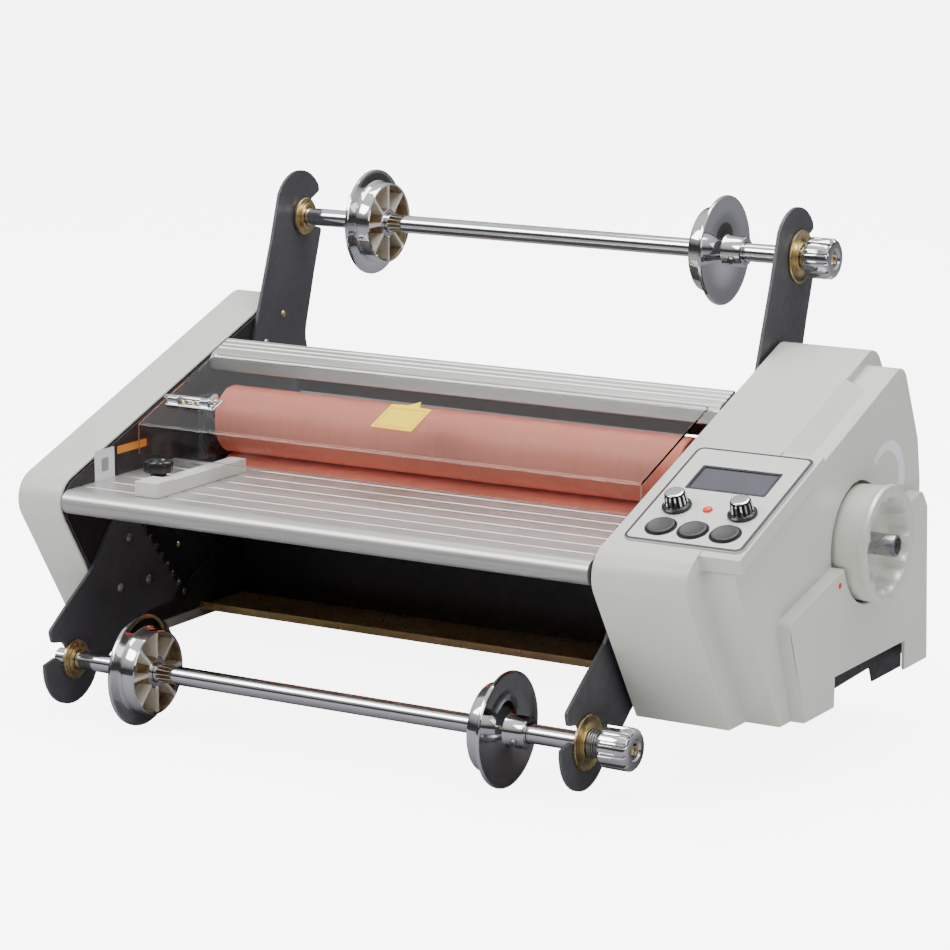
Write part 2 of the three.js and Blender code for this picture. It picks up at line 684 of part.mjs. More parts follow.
const statusLamp = () => turnedZ([[-8, 0], [-8, 4], [2.6, 4], [4, 2.6], [4.4, 0]], LAMP.x, -LAMP.down, 0, 16);

const pushButton = (x) => turnedZ([
  [-12.6, 0], [-12.6, 3], [-4, 3], [-4, BUTTONS.r], [3.2, BUTTONS.r], [4.3, BUTTONS.r - 1.4], [4.3, 0],
], x, -BUTTONS.down, 0, 20);

const controlBoard = () => prismZ(rectangle(548, 636, -285, -159), [-16.4, -14.8]);

// A dished wheel with a long hub, open to the right.
const pressureHandwheel = () => turnedX([
  [640, 6.3], [640, 43], [643, 45.5], [664, 48], [668, 51], [672, 51], [672.6, 49], [671, 46],
  [656, 42], [653, 38], [652, 12], [654, 9.5], [679.5, 9.5], [679.5, 6.3],
], WHEEL, 24);

// ---------------------------------------------------------------- assembly

add('left_cover', leftCover(), COVER_GREY);
add('right_cover', rightCover(), COVER_GREY);

const pinionHole = circle(pinion.centre, 6.6, 16);
const idlerHole = circle(idler.centre, 4.4, 16);
const leftHoles = [pinionHole, idlerHole, slot(CABLE_SLOT, 4.5), ...holeRow(HOLE_ROW)];
add('left_side_plate', sidePlate(LEFT_PLATE, leftHoles), FRAME_BLACK);
add('right_side_plate', sidePlate(RIGHT_PLATE, []), FRAME_BLACK);
add('left_upper_arm', arm(UPPER_ARM, LEFT_ARM), ARM_GREY);
add('right_upper_arm', arm(UPPER_ARM, RIGHT_UPPER_ARM), ARM_GREY);
add('left_lower_arm', arm(LOWER_ARM, LEFT_ARM), ARM_GREY);
add('right_lower_arm', arm(LOWER_ARM, RIGHT_LOWER_ARM, [[-282, -253], [-245, -297]]), ARM_GREY);

add('bottom_pan', bottomPan(), ZINC);
add('inner_wall', innerWall(), FRAME_BLACK);
add('left_base_runner', block(RUNNER.left, RUNNER.y, RUNNER.z), DARK_GREY);
add('right_base_runner', block(RUNNER.right, RUNNER.y, RUNNER.z), DARK_GREY);
add('top_rail', topRail(), ALUMINIUM);
add('rear_hood', rearHood(), FRAME_BLACK);
add('rear_panel', rearPanel(), FRAME_BLACK);
add('power_inlet', powerInlet(), BLACK_PLASTIC);
add('power_switch', rockerSwitch(), BLACK_PLASTIC);

add('feed_table', feedTable(), ALUMINIUM);
add('side_guide', sideGuide(), COVER_GREY);
add('guide_clamp_knob', guideClampKnob(), BLACK_PLASTIC);
add('safety_shield', safetyShield(), CLEAR_SHEET);
add('shield_latch', shieldLatch(), CHROME);

add('upper_heat_roller', heatRoller(HEAT.upper), SILICONE);
add('lower_heat_roller', heatRoller(HEAT.lower), SILICONE);
add('upper_heater', heater(HEAT.upper), STEEL);
add('lower_heater', heater(HEAT.lower), STEEL);
add('upper_pull_roller', pullRoller(PULL.upper, -4), SILICONE);
add('lower_pull_roller', pullRoller(PULL.lower, -5.2), SILICONE);
add('left_lift_block', liftBlock([3.4, 11], [-178, -128]), STEEL);
add('right_lift_block', liftBlock([525.8, 533.8], LIFT_BLOCK.y), STEEL);
add('upper_roller_gear', toothed(upperHeatGear, 7.5), STEEL);
add('lower_roller_gear', toothed(heatGear, 7.5), STEEL);
add('pull_roller_gear', toothed(pullGear, 3.3), STEEL);
add('idler_gear', pinned(idler, 4, [-16, 2]), STEEL);
add('drive_pinion', pinned(pinion, 6, [-16, 22]), STEEL);
add('drive_motor', driveMotor(), STEEL);
add('power_supply', powerSupply(), DARK_GREY);

add('upper_film_shaft', shaftSpan(UPPER_SHAFT, 554), CHROME);
add('lower_film_shaft', shaftSpan(LOWER_SHAFT, 561), CHROME);
add('upper_shaft_bush', bush(UPPER_SHAFT), BRASS);
add('lower_shaft_bush', bush(LOWER_SHAFT), BRASS);
add('upper_clutch_disc', clutchDisc(UPPER_SHAFT, RIGHT_UPPER_ARM[1] + 0.4), BRASS);
add('lower_clutch_disc', clutchDisc(LOWER_SHAFT, RIGHT_LOWER_ARM[1] + 0.4), BRASS);
add('upper_tension_knob', tensionKnob(UPPER_SHAFT, [528.5, 557.5]), CHROME);
add('lower_tension_knob', tensionKnob(LOWER_SHAFT, [533, 564]), CHROME);
add('upper_left_chuck', chuck(UPPER_SHAFT, 80, 1), CHROME);
add('upper_right_chuck', chuck(UPPER_SHAFT, 451.5, -1), CHROME);
add('lower_left_chuck', chuck(LOWER_SHAFT, 75, 1), CHROME);
add('lower_right_chuck', chuck(LOWER_SHAFT, 447, -1), CHROME);

add('control_panel', controlPanel(), PANEL_GREY, consoleFace);
add('display_window', displayWindow(), SCREEN, consoleFace);
add('speed_knob', controlKnob(KNOBS.x[0]), BLACK_PLASTIC, consoleFace);
add('temperature_knob', controlKnob(KNOBS.x[1]), BLACK_PLASTIC, consoleFace);
add('status_lamp', statusLamp(), RED_LAMP, consoleFace);
['start_button', 'stop_button', 'reverse_button'].forEach((name, i) => {
  add(name, pushButton(BUTTONS.x[i]), BLACK_PLASTIC, consoleFace);
});
add('control_board', controlBoard(), BOARD_GREEN, consoleFace);
add('pressure_handwheel', pressureHandwheel(), HANDWHEEL_SILVER);
add('handwheel_axle', handwheelAxle(), STEEL);

export default machine;
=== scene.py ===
"""The looks of the roll laminator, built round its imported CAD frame.

Lengths in this script are millimetres, measured from one datum: the axis of the upper film shaft
at the outer face of the left film arm. X runs to the operator's right, Y to the rear and Z up.
`metres` turns such a point into the frame's own metres.
"""

import math

import bmesh
import bpy
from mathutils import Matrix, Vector


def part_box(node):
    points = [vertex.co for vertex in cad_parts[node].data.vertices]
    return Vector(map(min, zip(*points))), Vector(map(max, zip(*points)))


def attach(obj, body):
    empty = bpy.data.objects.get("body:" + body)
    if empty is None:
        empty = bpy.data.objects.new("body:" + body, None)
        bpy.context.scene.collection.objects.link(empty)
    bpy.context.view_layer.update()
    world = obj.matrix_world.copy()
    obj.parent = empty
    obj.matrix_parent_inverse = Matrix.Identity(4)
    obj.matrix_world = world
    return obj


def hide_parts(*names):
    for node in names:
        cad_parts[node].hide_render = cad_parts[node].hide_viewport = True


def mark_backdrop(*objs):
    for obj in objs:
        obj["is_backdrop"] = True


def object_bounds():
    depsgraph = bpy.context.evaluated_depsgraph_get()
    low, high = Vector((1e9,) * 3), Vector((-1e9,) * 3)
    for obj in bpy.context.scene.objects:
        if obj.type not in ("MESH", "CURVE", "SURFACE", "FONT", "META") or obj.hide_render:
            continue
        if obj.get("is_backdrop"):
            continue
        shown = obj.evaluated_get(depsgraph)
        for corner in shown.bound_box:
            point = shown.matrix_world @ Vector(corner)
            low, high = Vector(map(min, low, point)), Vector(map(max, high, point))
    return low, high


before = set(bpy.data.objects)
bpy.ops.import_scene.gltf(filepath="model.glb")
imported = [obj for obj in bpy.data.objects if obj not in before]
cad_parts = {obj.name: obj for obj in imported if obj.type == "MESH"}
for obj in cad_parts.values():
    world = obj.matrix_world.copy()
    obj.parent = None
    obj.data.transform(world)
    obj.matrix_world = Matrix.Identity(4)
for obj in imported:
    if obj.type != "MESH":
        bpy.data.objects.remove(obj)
CAD_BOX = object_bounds()

MM = 0.001
TURN = 2 * math.pi


def middle(node):
    low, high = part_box(node)
    return (low + high) / 2


SHAFT_MIDDLE = middle("upper_film_shaft")
DATUM = Vector((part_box("left_upper_arm")[0].x, SHAFT_MIDDLE.y, SHAFT_MIDDLE.z))


def metres(x, y, z):
    return DATUM + Vector((x, y, z)) * MM


def millimetres(node):
    """The lowest and highest corner of a CAD node, in this script's millimetres."""
    return tuple((corner - DATUM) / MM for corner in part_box(node))


def axis_of(node):
    """Y and Z of the line along X through the middle of a CAD node."""
    return tuple(v / MM for v in (middle(node) - DATUM)[1:3])


# ---------------------------------------------------------------- driving dimensions

UPPER_SHAFT = (0.0, 0.0)  # Y and Z of an axis
LOWER_SHAFT = axis_of("lower_film_shaft")
WHEEL = axis_of("pressure_handwheel")
HEAT_Y = -153.0  # the heated rollers' axis
PULL_Y = -71.0  # the pull rollers' axis

SLOPE = math.atan(0.376)  # lean of the covers' upper face
SLOPE_HEAD = (-76.0, -80.0)  # Y and Z of a point at its head

LEFT_ARM_FACE = 3.0  # X of the faces that carry screws
RIGHT_LOWER_ARM_FACE = 516.2
RIGHT_UPPER_ARM_FACE = 520.1

SMOOTH_ANGLE = math.radians(32)
BEVEL_ANGLE = math.radians(30)
FLAT_ANGLE = math.radians(0.5)
WELD_METRES = 1e-6
JOIN_MM = 1e-4
NO_RADIUS = 1e-6  # below this a turned ring is one point


# ---------------------------------------------------------------- material tools

class Surface:
    """One material, with short ways to add the nodes that give it its detail."""

    def __init__(self, name, colour, roughness, metallic=0.0):
        self.material = bpy.data.materials.new(name)
        self.material.use_nodes = True
        self.tree = self.material.node_tree
        self.shader = self.tree.nodes["Principled BSDF"]
        self.colour = colour
        self.set("Base Color", (*colour, 1))
        self.set("Roughness", roughness)
        self.set("Metallic", metallic)
        self.place = self.node("ShaderNodeTexCoord").outputs["Object"]

    def set(self, socket, value):
        self.shader.inputs[socket].default_value = value

    def node(self, kind, inputs=None, **settings):
        node = self.tree.nodes.new(kind)
        for key, value in settings.items():
            setattr(node, key, value)
        for key, value in (inputs or {}).items():
            if isinstance(value, bpy.types.NodeSocket):
                self.tree.links.new(value, node.inputs[key])
            else:
                node.inputs[key].default_value = value
        return node

    def feed(self, output, socket):
        self.tree.links.new(output, self.shader.inputs[socket])

    def stretched(self, scale):
        return self.node("ShaderNodeMapping", {"Vector": self.place, "Scale": scale}).outputs["Vector"]

    def noise(self, scale, stretch=(1, 1, 1), detail=3.0, roughness=0.55):
        inputs = {"Vector": self.stretched(stretch), "Scale": scale, "Detail": detail,
                  "Roughness": roughness}
        return self.node("ShaderNodeTexNoise", inputs).outputs["Fac"]

    def levels(self, factor, low, high, start=0.3, end=0.7):
        inputs = {"Value": factor, "From Min": start, "From Max": end, "To Min": low, "To Max": high}
        return self.node("ShaderNodeMapRange", inputs).outputs["Result"]

    def mixed(self, factor, first, second):
        """A colour that goes from first to second with a factor; either may be a socket."""
        node = self.node("ShaderNodeMix", data_type="RGBA")
        for index, value in ((0, factor), (6, first), (7, second)):
            if isinstance(value, bpy.types.NodeSocket):
                self.tree.links.new(value, node.inputs[index])
            else:
                node.inputs[index].default_value = (*value, 1)
        return node.outputs[2]

    def vary_colour(self, factor, amount):
        """Lets the colour run a little darker and lighter with a factor."""
        darker = [c * (1 - amount) for c in self.colour]
        lighter = [min(1, c * (1 + amount)) for c in self.colour]
        output = self.mixed(self.levels(factor, 0, 1), darker, lighter)
        self.feed(output, "Base Color")
        return output

    def vary_roughness(self, factor, low, high):
        self.feed(self.levels(factor, low, high), "Roughness")

    def bump(self, height, depth_mm, strength=1.0):
        inputs = {"Height": height, "Distance": depth_mm * MM, "Strength": strength}
        self.feed(self.node("ShaderNodeBump", inputs).outputs["Normal"], "Normal")

    def edges(self, radius_mm):
        """1 along edges, 0 on flat stretches."""
        rounded = self.node("ShaderNodeBevel", {"Radius": radius_mm * MM}, samples=4).outputs["Normal"]
        flat = self.node("ShaderNodeNewGeometry").outputs["Normal"]
        alike = self.node("ShaderNodeVectorMath", {0: rounded, 1: flat}, operation="DOT_PRODUCT")
        return self.levels(alike.outputs["Value"], 1, 0, start=0.8, end=0.98)

    def add_wear(self, base, worn, radius_mm, patch_scale):
        """Rubs edges through to a worn colour, in patches."""
        patches = self.levels(self.noise(patch_scale), 0, 1, start=0.45, end=0.65)
        inputs = {0: self.edges(radius_mm), 1: patches}
        amount = self.node("ShaderNodeMath", inputs, operation="MULTIPLY").outputs[0]
        self.feed(self.mixed(amount, base, worn), "Base Color")


def moulded_plastic(name, colour, roughness=0.42, grain_mm=0.03):
    s = Surface(name, colour, roughness)
    s.vary_colour(s.noise(7, detail=4), 0.025)
    s.vary_roughness(s.noise(60), roughness - 0.07, roughness + 0.07)
    s.bump(s.noise(900, detail=2), grain_mm, 0.35)
    return s


def cover_moulding():
    s = moulded_plastic("cover_moulding", (0.60, 0.60, 0.555), 0.4)
    s.set("Coat Weight", 0.12)
    s.set("Coat Roughness", 0.3)
    return s.material


def powder_coat(name, colour, roughness):
    """Black or grey powder coat: a fine orange peel, with rubbed edges."""
    s = Surface(name, colour, roughness)
    base = s.vary_colour(s.noise(14, detail=5), 0.12)
    s.add_wear(base, [min(1, 2.4 * c + 0.03) for c in colour], 0.7, 40)
    s.vary_roughness(s.noise(120), roughness - 0.08, roughness + 0.1)
    s.bump(s.noise(1100, detail=3), 0.04, 0.5)
    return s.material


def yellow_zinc():
    """Yellow passivated zinc: gold that drifts to pink and green."""
    s = Surface("zinc_plate", (0.62, 0.45, 0.2), 0.34, 0.9)
    drift = s.levels(s.noise(9, (0.4, 1, 1), detail=5), 0, 1, 0.35, 0.65)
    warm = s.mixed(drift, (0.72, 0.5, 0.2), (0.58, 0.36, 0.24))
    s.feed(s.mixed(s.levels(s.noise(22), 0, 1, 0.5, 0.8), warm, (0.5, 0.5, 0.24)), "Base Color")
    s.vary_roughness(s.noise(150), 0.26, 0.42)
    s.bump(s.noise(500), 0.02, 0.4)
    return s.material


def runner_plastic():
    return moulded_plastic("runner_plastic", (0.3, 0.3, 0.29), 0.55).material


def aluminium():
    """Drawn aluminium: fine lines along its length, and a soft anodised sheen."""
    s = Surface("aluminium", (0.59, 0.585, 0.565), 0.34, 0.8)
    lines = s.noise(260, (0.012, 1, 1), detail=6, roughness=0.7)
    s.vary_colour(lines, 0.06)
    s.vary_roughness(lines, 0.3, 0.42)
    s.bump(lines, 0.02, 0.25)
    return s.material


def gloss_black():
    return moulded_plastic("black_plastic", (0.012, 0.012, 0.013), 0.28, 0.015).material


def matt_black():
    return moulded_plastic("matt_black_plastic", (0.03, 0.03, 0.033), 0.5, 0.02).material


def guide_paint():
    return moulded_plastic("guide_paint", (0.62, 0.62, 0.585), 0.38, 0.02).material


def clear_sheet():
    """Clear acrylic with the faint marks of wiping and handling."""
    s = Surface("clear_sheet", (0.93, 0.945, 0.95), 0.03)
    s.set("Transmission Weight", 1.0)
    s.set("IOR", 1.28)
    s.vary_roughness(s.noise(35, (0.2, 1, 1), detail=6), 0.0, 0.05)
    s.bump(s.noise(5, (0.3, 1, 1)), 0.3, 0.12)
    return s.material


def chrome():
    s = Surface("chrome", (0.83, 0.83, 0.84), 0.05, 1.0)
    haze = s.noise(90, detail=5)
    s.vary_colour(haze, 0.03)
    s.vary_roughness(haze, 0.03, 0.11)
    s.bump(s.noise(40, detail=2), 0.05, 0.2)
    return s.material


def silicone():
    """Salmon silicone rubber, ground round the roller, a little dusty."""
    s = Surface("silicone", (0.76, 0.19, 0.115), 0.42)
    rings = s.noise(300, (1, 0.05, 0.05), detail=4)
    base = s.vary_colour(s.noise(6, detail=4), 0.07)
    s.feed(s.mixed(s.levels(rings, 0, 0.16), base, (0.86, 0.4, 0.3)), "Base Color")
    s.vary_roughness(s.noise(30), 0.34, 0.5)
    s.bump(rings, 0.02, 0.3)
    s.set("Subsurface Weight", 0.08)
    s.set("Subsurface Radius", (0.004, 0.0015, 0.001))
    return s.material


def steel():
    s = Surface("steel", (0.42, 0.42, 0.43), 0.3, 1.0)
    turned = s.noise(700, (1, 0.15, 0.15), detail=4)
    s.vary_colour(s.noise(30, detail=4), 0.12)
    s.vary_roughness(turned, 0.22, 0.42)
    s.bump(turned, 0.02, 0.4)
    return s.material


def brass():
    """Turned brass, a little tarnished."""
    s = Surface("brass", (0.72, 0.5, 0.2), 0.28, 1.0)
    tarnish = s.levels(s.noise(70, detail=6), 0, 0.6, 0.5, 0.75)
    rings = s.noise(1500, (0.05, 1, 1), detail=3)
    s.feed(s.mixed(tarnish, (0.74, 0.58, 0.3), (0.4, 0.28, 0.12)), "Base Color")
    s.vary_roughness(s.noise(120), 0.2, 0.42)
    s.bump(rings, 0.02, 0.4)
    return s.material


def cast_metal():
    """The unplated casting inside the core plugs: warm, matt and pitted."""
    s = Surface("cast_metal", (0.44, 0.34, 0.2), 0.42, 0.8)
    patches = s.levels(s.noise(55, detail=6), 0, 1, 0.35, 0.7)
    s.feed(s.mixed(patches, (0.56, 0.45, 0.29), (0.24, 0.165, 0.085)), "Base Color")
    s.vary_roughness(s.noise(90), 0.3, 0.6)
    s.bump(s.noise(420, detail=4), 0.12, 0.6)
    return s.material


def spoke_metal():
    """The ground edges of the plugs' ribs, satin and pale."""
    s = Surface("spoke_metal", (0.74, 0.70, 0.62), 0.4, 0.35)
    s.vary_colour(s.noise(60, detail=4), 0.05)
    s.vary_roughness(s.noise(90), 0.34, 0.48)
    s.bump(s.noise(500), 0.02, 0.3)
    return s.material


def panel_overlay():
    s = Surface("panel_overlay", (0.68, 0.68, 0.655), 0.36)
    s.vary_colour(s.noise(20), 0.015)
    s.vary_roughness(s.noise(300), 0.3, 0.42)
    s.bump(s.noise(1500), 0.01, 0.3)
    return s.material


def screen():
    """A switched-off liquid crystal display under clear plastic."""
    s = Surface("screen", (0.075, 0.075, 0.095), 0.2)
    s.vary_colour(s.noise(16, detail=2), 0.06)
    s.vary_roughness(s.noise(60), 0.1, 0.2)
    s.bump(s.noise(12), 0.02, 0.2)
    s.set("Coat Weight", 0.25)
    s.set("Coat Roughness", 0.12)
    return s.material


def red_lamp():
    s = Surface("red_lamp", (0.75, 0.02, 0.015), 0.2)
    s.vary_colour(s.noise(250), 0.15)
    s.bump(s.noise(500), 0.05, 0.3)
    s.set("Emission Color", (1, 0.04, 0.02, 1))
    s.set("Emission Strength", 0.35)
    return s.material


def circuit_board():
    s = Surface("circuit_board", (0.03, 0.14, 0.06), 0.4)
    tracks = s.node("ShaderNodeTexBrick", {"Vector": s.place, "Scale": 160.0, "Mortar Size": 0.06})
    s.feed(s.mixed(tracks.outputs["Fac"], (0.03, 0.14, 0.06), (0.1, 0.3, 0.13)), "Base Color")
    s.vary_roughness(s.noise(200), 0.3, 0.5)
    s.bump(tracks.outputs["Fac"], 0.05, 0.5)
    return s.material


def supply_case():
    """A zinc-plated case with a grid of punched air holes, drawn as near-black dots: painted shade for the
    dark inside.
    """
    s = Surface("supply_case", (0.5, 0.5, 0.5), 0.34, 0.9)
    holes = s.node("ShaderNodeTexVoronoi", {"Vector": s.place, "Scale": 170.0, "Randomness": 0.0})
    # The holes' near-black is painted shade for the case's dark inside.
    hole_shade = s.levels(holes.outputs["Distance"], 0, 1, 0.3, 0.34)
    s.feed(s.mixed(hole_shade, (0.02, 0.02, 0.02), (0.5, 0.5, 0.5)), "Base Color")
    s.vary_roughness(s.noise(80), 0.28, 0.42)
    s.bump(hole_shade, 0.3, 0.6)
    return s.material


def handwheel_silver():
    """Cast aluminium under a silvery lacquer."""
    s = Surface("handwheel_silver", (0.76, 0.76, 0.705), 0.36, 0.4)
    s.vary_colour(s.noise(20, detail=3), 0.015)
    s.vary_roughness(s.noise(40), 0.34, 0.38)
    s.bump(s.noise(1200), 0.002, 0.08)
    s.set("Coat Weight", 0.3)
    s.set("Coat Roughness", 0.12)
    return s.material


def label_print(name, colour):
    roughness = 0.45
    s = Surface(name, colour, roughness)
    s.vary_colour(s.noise(60), 0.05)
    s.vary_roughness(s.noise(200), roughness - 0.1, roughness + 0.1)
    s.bump(s.noise(700), 0.02, 0.3)
    return s.material


COVER = cover_moulding()
BLACK_PAINT = powder_coat("frame_black", (0.016, 0.016, 0.018), 0.42)
GREY_PAINT = powder_coat("arm_grey", (0.062, 0.062, 0.07), 0.42)
ZINC = yellow_zinc()
RUNNER = runner_plastic()
ALUMINIUM = aluminium()
BLACK = gloss_black()
DARK_PLASTIC = matt_black()
GUIDE_PAINT = guide_paint()
CLEAR = clear_sheet()
CHROME = chrome()
SILICONE = silicone()
STEEL = steel()
BRASS = brass()
CAST = cast_metal()
SPOKE_METAL = spoke_metal()
PANEL = panel_overlay()
SCREEN = screen()
RED = red_lamp()
BOARD = circuit_board()
CASE = supply_case()
WHEEL_SILVER = handwheel_silver()
PRINT_WHITE = label_print("print_white", (0.78, 0.79, 0.82))
PRINT_BLACK = label_print("print_black", (0.02, 0.02, 0.022))
PRINT_ORANGE = label_print("print_orange", (0.72, 0.26, 0.03))
PRINT_YELLOW = label_print("print_yellow", (1.0, 0.7, 0.0))
PRINT_AMBER = label_print("print_amber", (0.7, 0.5, 0.02))
PRINT_RED = label_print("print_red", (0.7, 0.02, 0.015))
PRINT_GREY = label_print("print_grey", (0.3, 0.3, 0.32))


# ---------------------------------------------------------------- mesh tools

def smooth_by_angle():
    """A node group that shades smooth and keeps the edges past SMOOTH_ANGLE sharp."""
    group = bpy.data.node_groups.new("smooth_by_angle", "GeometryNodeTree")
    group.interface.new_socket("Geometry", in_out="INPUT", socket_type="NodeSocketGeometry")
    group.interface.new_socket("Geometry", in_out="OUTPUT", socket_type="NodeSocketGeometry")
    add, link = group.nodes.new, group.links.new
    start, end = add("NodeGroupInput"), add("NodeGroupOutput")
    faces, edges = add("GeometryNodeSetShadeSmooth"), add("GeometryNodeSetShadeSmooth")
    edges.domain = "EDGE"
    angle, sharp = add("GeometryNodeInputMeshEdgeAngle"), add("FunctionNodeCompare")
    sharp.inputs[1].default_value = SMOOTH_ANGLE
    link(start.outputs[0], faces.inputs["Geometry"])
    link(faces.outputs["Geometry"], edges.inputs["Geometry"])
    link(angle.outputs["Unsigned Angle"], sharp.inputs[0])
    link(sharp.outputs["Result"], edges.inputs["Selection"])
    edges.inputs["Shade Smooth"].default_value = False
    link(edges.outputs["Geometry"], end.inputs[0])
    return group


SMOOTH = smooth_by_angle()


def shade(obj, weighted=True):
    """Smooth shading past small angles; weighted keeps big flat faces flat beside rounded edges."""
    obj.modifiers.new("smooth", "NODES").node_group = SMOOTH
    if weighted:
        normals = obj.modifiers.new("normals", "WEIGHTED_NORMAL")
        normals.keep_sharp = True


def round_edges(obj, width_mm, segments=3, clamped=True):
    bevel = obj.modifiers.new("edges", "BEVEL")
    bevel.use_clamp_overlap = clamped
    bevel.width = width_mm * MM
    bevel.segments = segments
    bevel.limit_method = "ANGLE"
    bevel.angle_limit = BEVEL_ANGLE


def dress(node, material, width_mm=0.4, segments=2, merged=True, clamped=True):
    """Keeps a CAD node and gives it fine edges and its material.

    merged joins its flat triangles before the edges are rounded.
    """
    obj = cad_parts[node]
    obj.data.materials.clear()
    obj.data.materials.append(material)
    weld = obj.modifiers.new("weld", "WELD")
    weld.merge_threshold = WELD_METRES
    if merged:
        flat = obj.modifiers.new("flat", "DECIMATE")
        flat.decimate_type = "DISSOLVE"
        flat.angle_limit = FLAT_ANGLE
    if width_mm:
        round_edges(obj, width_mm, segments, clamped=clamped)
    shade(obj)


def object_of(name, mesh):
    """Makes a bmesh into an object in the scene."""
    data = bpy.data.meshes.new(name)
    mesh.to_mesh(data)
    mesh.free()
    obj = bpy.data.objects.new(name, data)
    bpy.context.scene.collection.objects.link(obj)
    return obj


def piece(name, mesh, materials, body, stands_for=(), bevel_mm=0):
    """Makes a bmesh in this script's millimetres into a named piece that rides on a body."""
    bmesh.ops.remove_doubles(mesh, verts=mesh.verts, dist=JOIN_MM)
    bmesh.ops.recalc_face_normals(mesh, faces=mesh.faces)
    for vertex in mesh.verts:
        vertex.co = metres(*vertex.co)
    obj = object_of(name, mesh)
    for material in materials if isinstance(materials, list) else [materials]:
        obj.data.materials.append(material)
    if bevel_mm:
        round_edges(obj, bevel_mm)
    shade(obj, weighted=bool(bevel_mm))
    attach(obj, body)
    if stands_for:
        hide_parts(*stands_for)


def lathe(mesh, profile, place, sides=96, reach=None, ring=None):
    """Turns a profile of [along, radius] round an axis.

    place(along, radius, angle) gives a point; reach changes a radius with its angle, as flutes do;
    ring is a function of the profile's index that gives its faces' material number.
    """
    loops = []
    for along, radius in profile:
        if radius < NO_RADIUS:
            loops.append([mesh.verts.new(place(along, 0, 0))])
            continue
        angles = [TURN * i / sides for i in range(sides)]
        radii = [reach(along, radius, a) if reach else radius for a in angles]
        loops.append([mesh.verts.new(place(along, r, a)) for r, a in zip(radii, angles)])
    closed = profile[0][1] > NO_RADIUS and profile[-1][1] > NO_RADIUS
    pairs = list(zip(loops, loops[1:])) + ([(loops[-1], loops[0])] if closed else [])
    for index, (first, second) in enumerate(pairs):
        for i in range(sides):
            j = (i + 1) % sides
            corners = [first[i % len(first)], first[j % len(first)],
                       second[j % len(second)], second[i % len(second)]]
            face = mesh.faces.new(list(dict.fromkeys(corners)))
            face.material_index = ring(index) if ring else 0


def along_x(axis, turn=0.0):
    """Places lathe points round a line along X through axis = (Y, Z)."""
    return lambda along, r, a: (along, axis[0] + r * math.cos(a + turn), axis[1] + r * math.sin(a + turn))


def on_slope(x, down):
    """Places lathe points round a line out of the sloping face, at a place on that face."""
    return lambda out, r, a: sloped(x + r * math.cos(a), down - r * math.sin(a), out)


def sloped(x, down, out):
    """A point given by how far down the sloping face and how far out of it."""
    y = SLOPE_HEAD[0] - down * math.cos(SLOPE) - out * math.sin(SLOPE)
    z = SLOPE_HEAD[1] - down * math.sin(SLOPE) + out * math.cos(SLOPE)
    return Vector((x, y, z))


def upright(x, y):
    """Places lathe points round a vertical line."""
    return lambda z, r, a: (x + r * math.cos(a), y + r * math.sin(a), z)


def turned(*shape, **options):
    """A new mesh with one lathe shape in it."""
    mesh = bmesh.new()
    lathe(mesh, *shape, **options)
    return mesh


def joined(mesh, first, second):
    """Faces between two closed rows of points."""
    for i in range(len(first)):
        j = (i + 1) % len(first)
        mesh.faces.new([first[i], first[j], second[j], second[i]])


def capped_ends(mesh, ends):
    """Two end faces, and the faces between them."""
    for end in ends:
        mesh.faces.new(end)
    joined(mesh, *ends)


def capped(mesh, rings):
    """Faces along a row of rings, and one over each end."""
    for first, second in zip(rings, rings[1:]):
        joined(mesh, first, second)
    mesh.faces.new(rings[0])
    mesh.faces.new(rings[-1])


def prism(mesh, outline, low, high, place):
    """A prism of a closed outline of (u, v); place(u, v, w) gives a point."""
    capped_ends(mesh, [[mesh.verts.new(place(u, v, w)) for u, v in outline] for w in (low, high)])


def ring_prism(mesh, outer, inner, low, high, place):
    """A flat ring between two outlines with the same number of points."""
    loops = [[mesh.verts.new(place(u, v, w)) for u, v in line] for line, w in
             ((outer, low), (outer, high), (inner, high), (inner, low))]
    for first, second in zip(loops, loops[1:] + loops[:1]):
        joined(mesh, first, second)


def arc(centre, radius, start, turn, steps):
    angles = [start + turn * i / steps for i in range(steps + 1)]
    return [(centre[0] + radius * math.cos(a), centre[1] + radius * math.sin(a)) for a in angles]


def rounded_box(u0, u1, v0, v1, radius, steps=6):
    quarter = math.pi / 2
    corners = ((u1 - radius, v0 + radius, -1), (u1 - radius, v1 - radius, 0),
               (u0 + radius, v1 - radius, 1), (u0 + radius, v0 + radius, 2))
    return [point for u, v, k in corners for point in arc((u, v), radius, k * quarter, quarter, steps)]


facing_x = lambda u, v, w: (w, u, v)  # outline in Y, Z
facing_slope = lambda u, v, w: sloped(u, v, w)  # outline in X, down the slope


# ---------------------------------------------------------------- frame pieces kept from the CAD

def dress_frame():
    for node, rounding in (("left_cover", (2.2, 4, True)), ("right_cover", (1.2, 4, False))):
        dress(node, COVER, *rounding, clamped=False)
    for node in ("left_side_plate", "right_side_plate", "inner_wall", "rear_hood", "rear_panel"):
        dress(node, BLACK_PAINT, 0.25)
    for node in ("left_upper_arm", "right_upper_arm", "left_lower_arm", "right_lower_arm"):
        dress(node, GREY_PAINT, 0.5)
    dress("bottom_pan", ZINC, 0.3)
    for node in ("left_base_runner", "right_base_runner"):
        dress(node, RUNNER, 1.0, 3)
    for node in ("top_rail", "feed_table"):
        dress(node, ALUMINIUM, 0)
    for node in ("power_inlet", "power_switch"):
        dress(node, BLACK, 0.4)
    dress("side_guide", GUIDE_PAINT, 0.9, 3)
    dress("safety_shield", CLEAR, 0.3, 2)


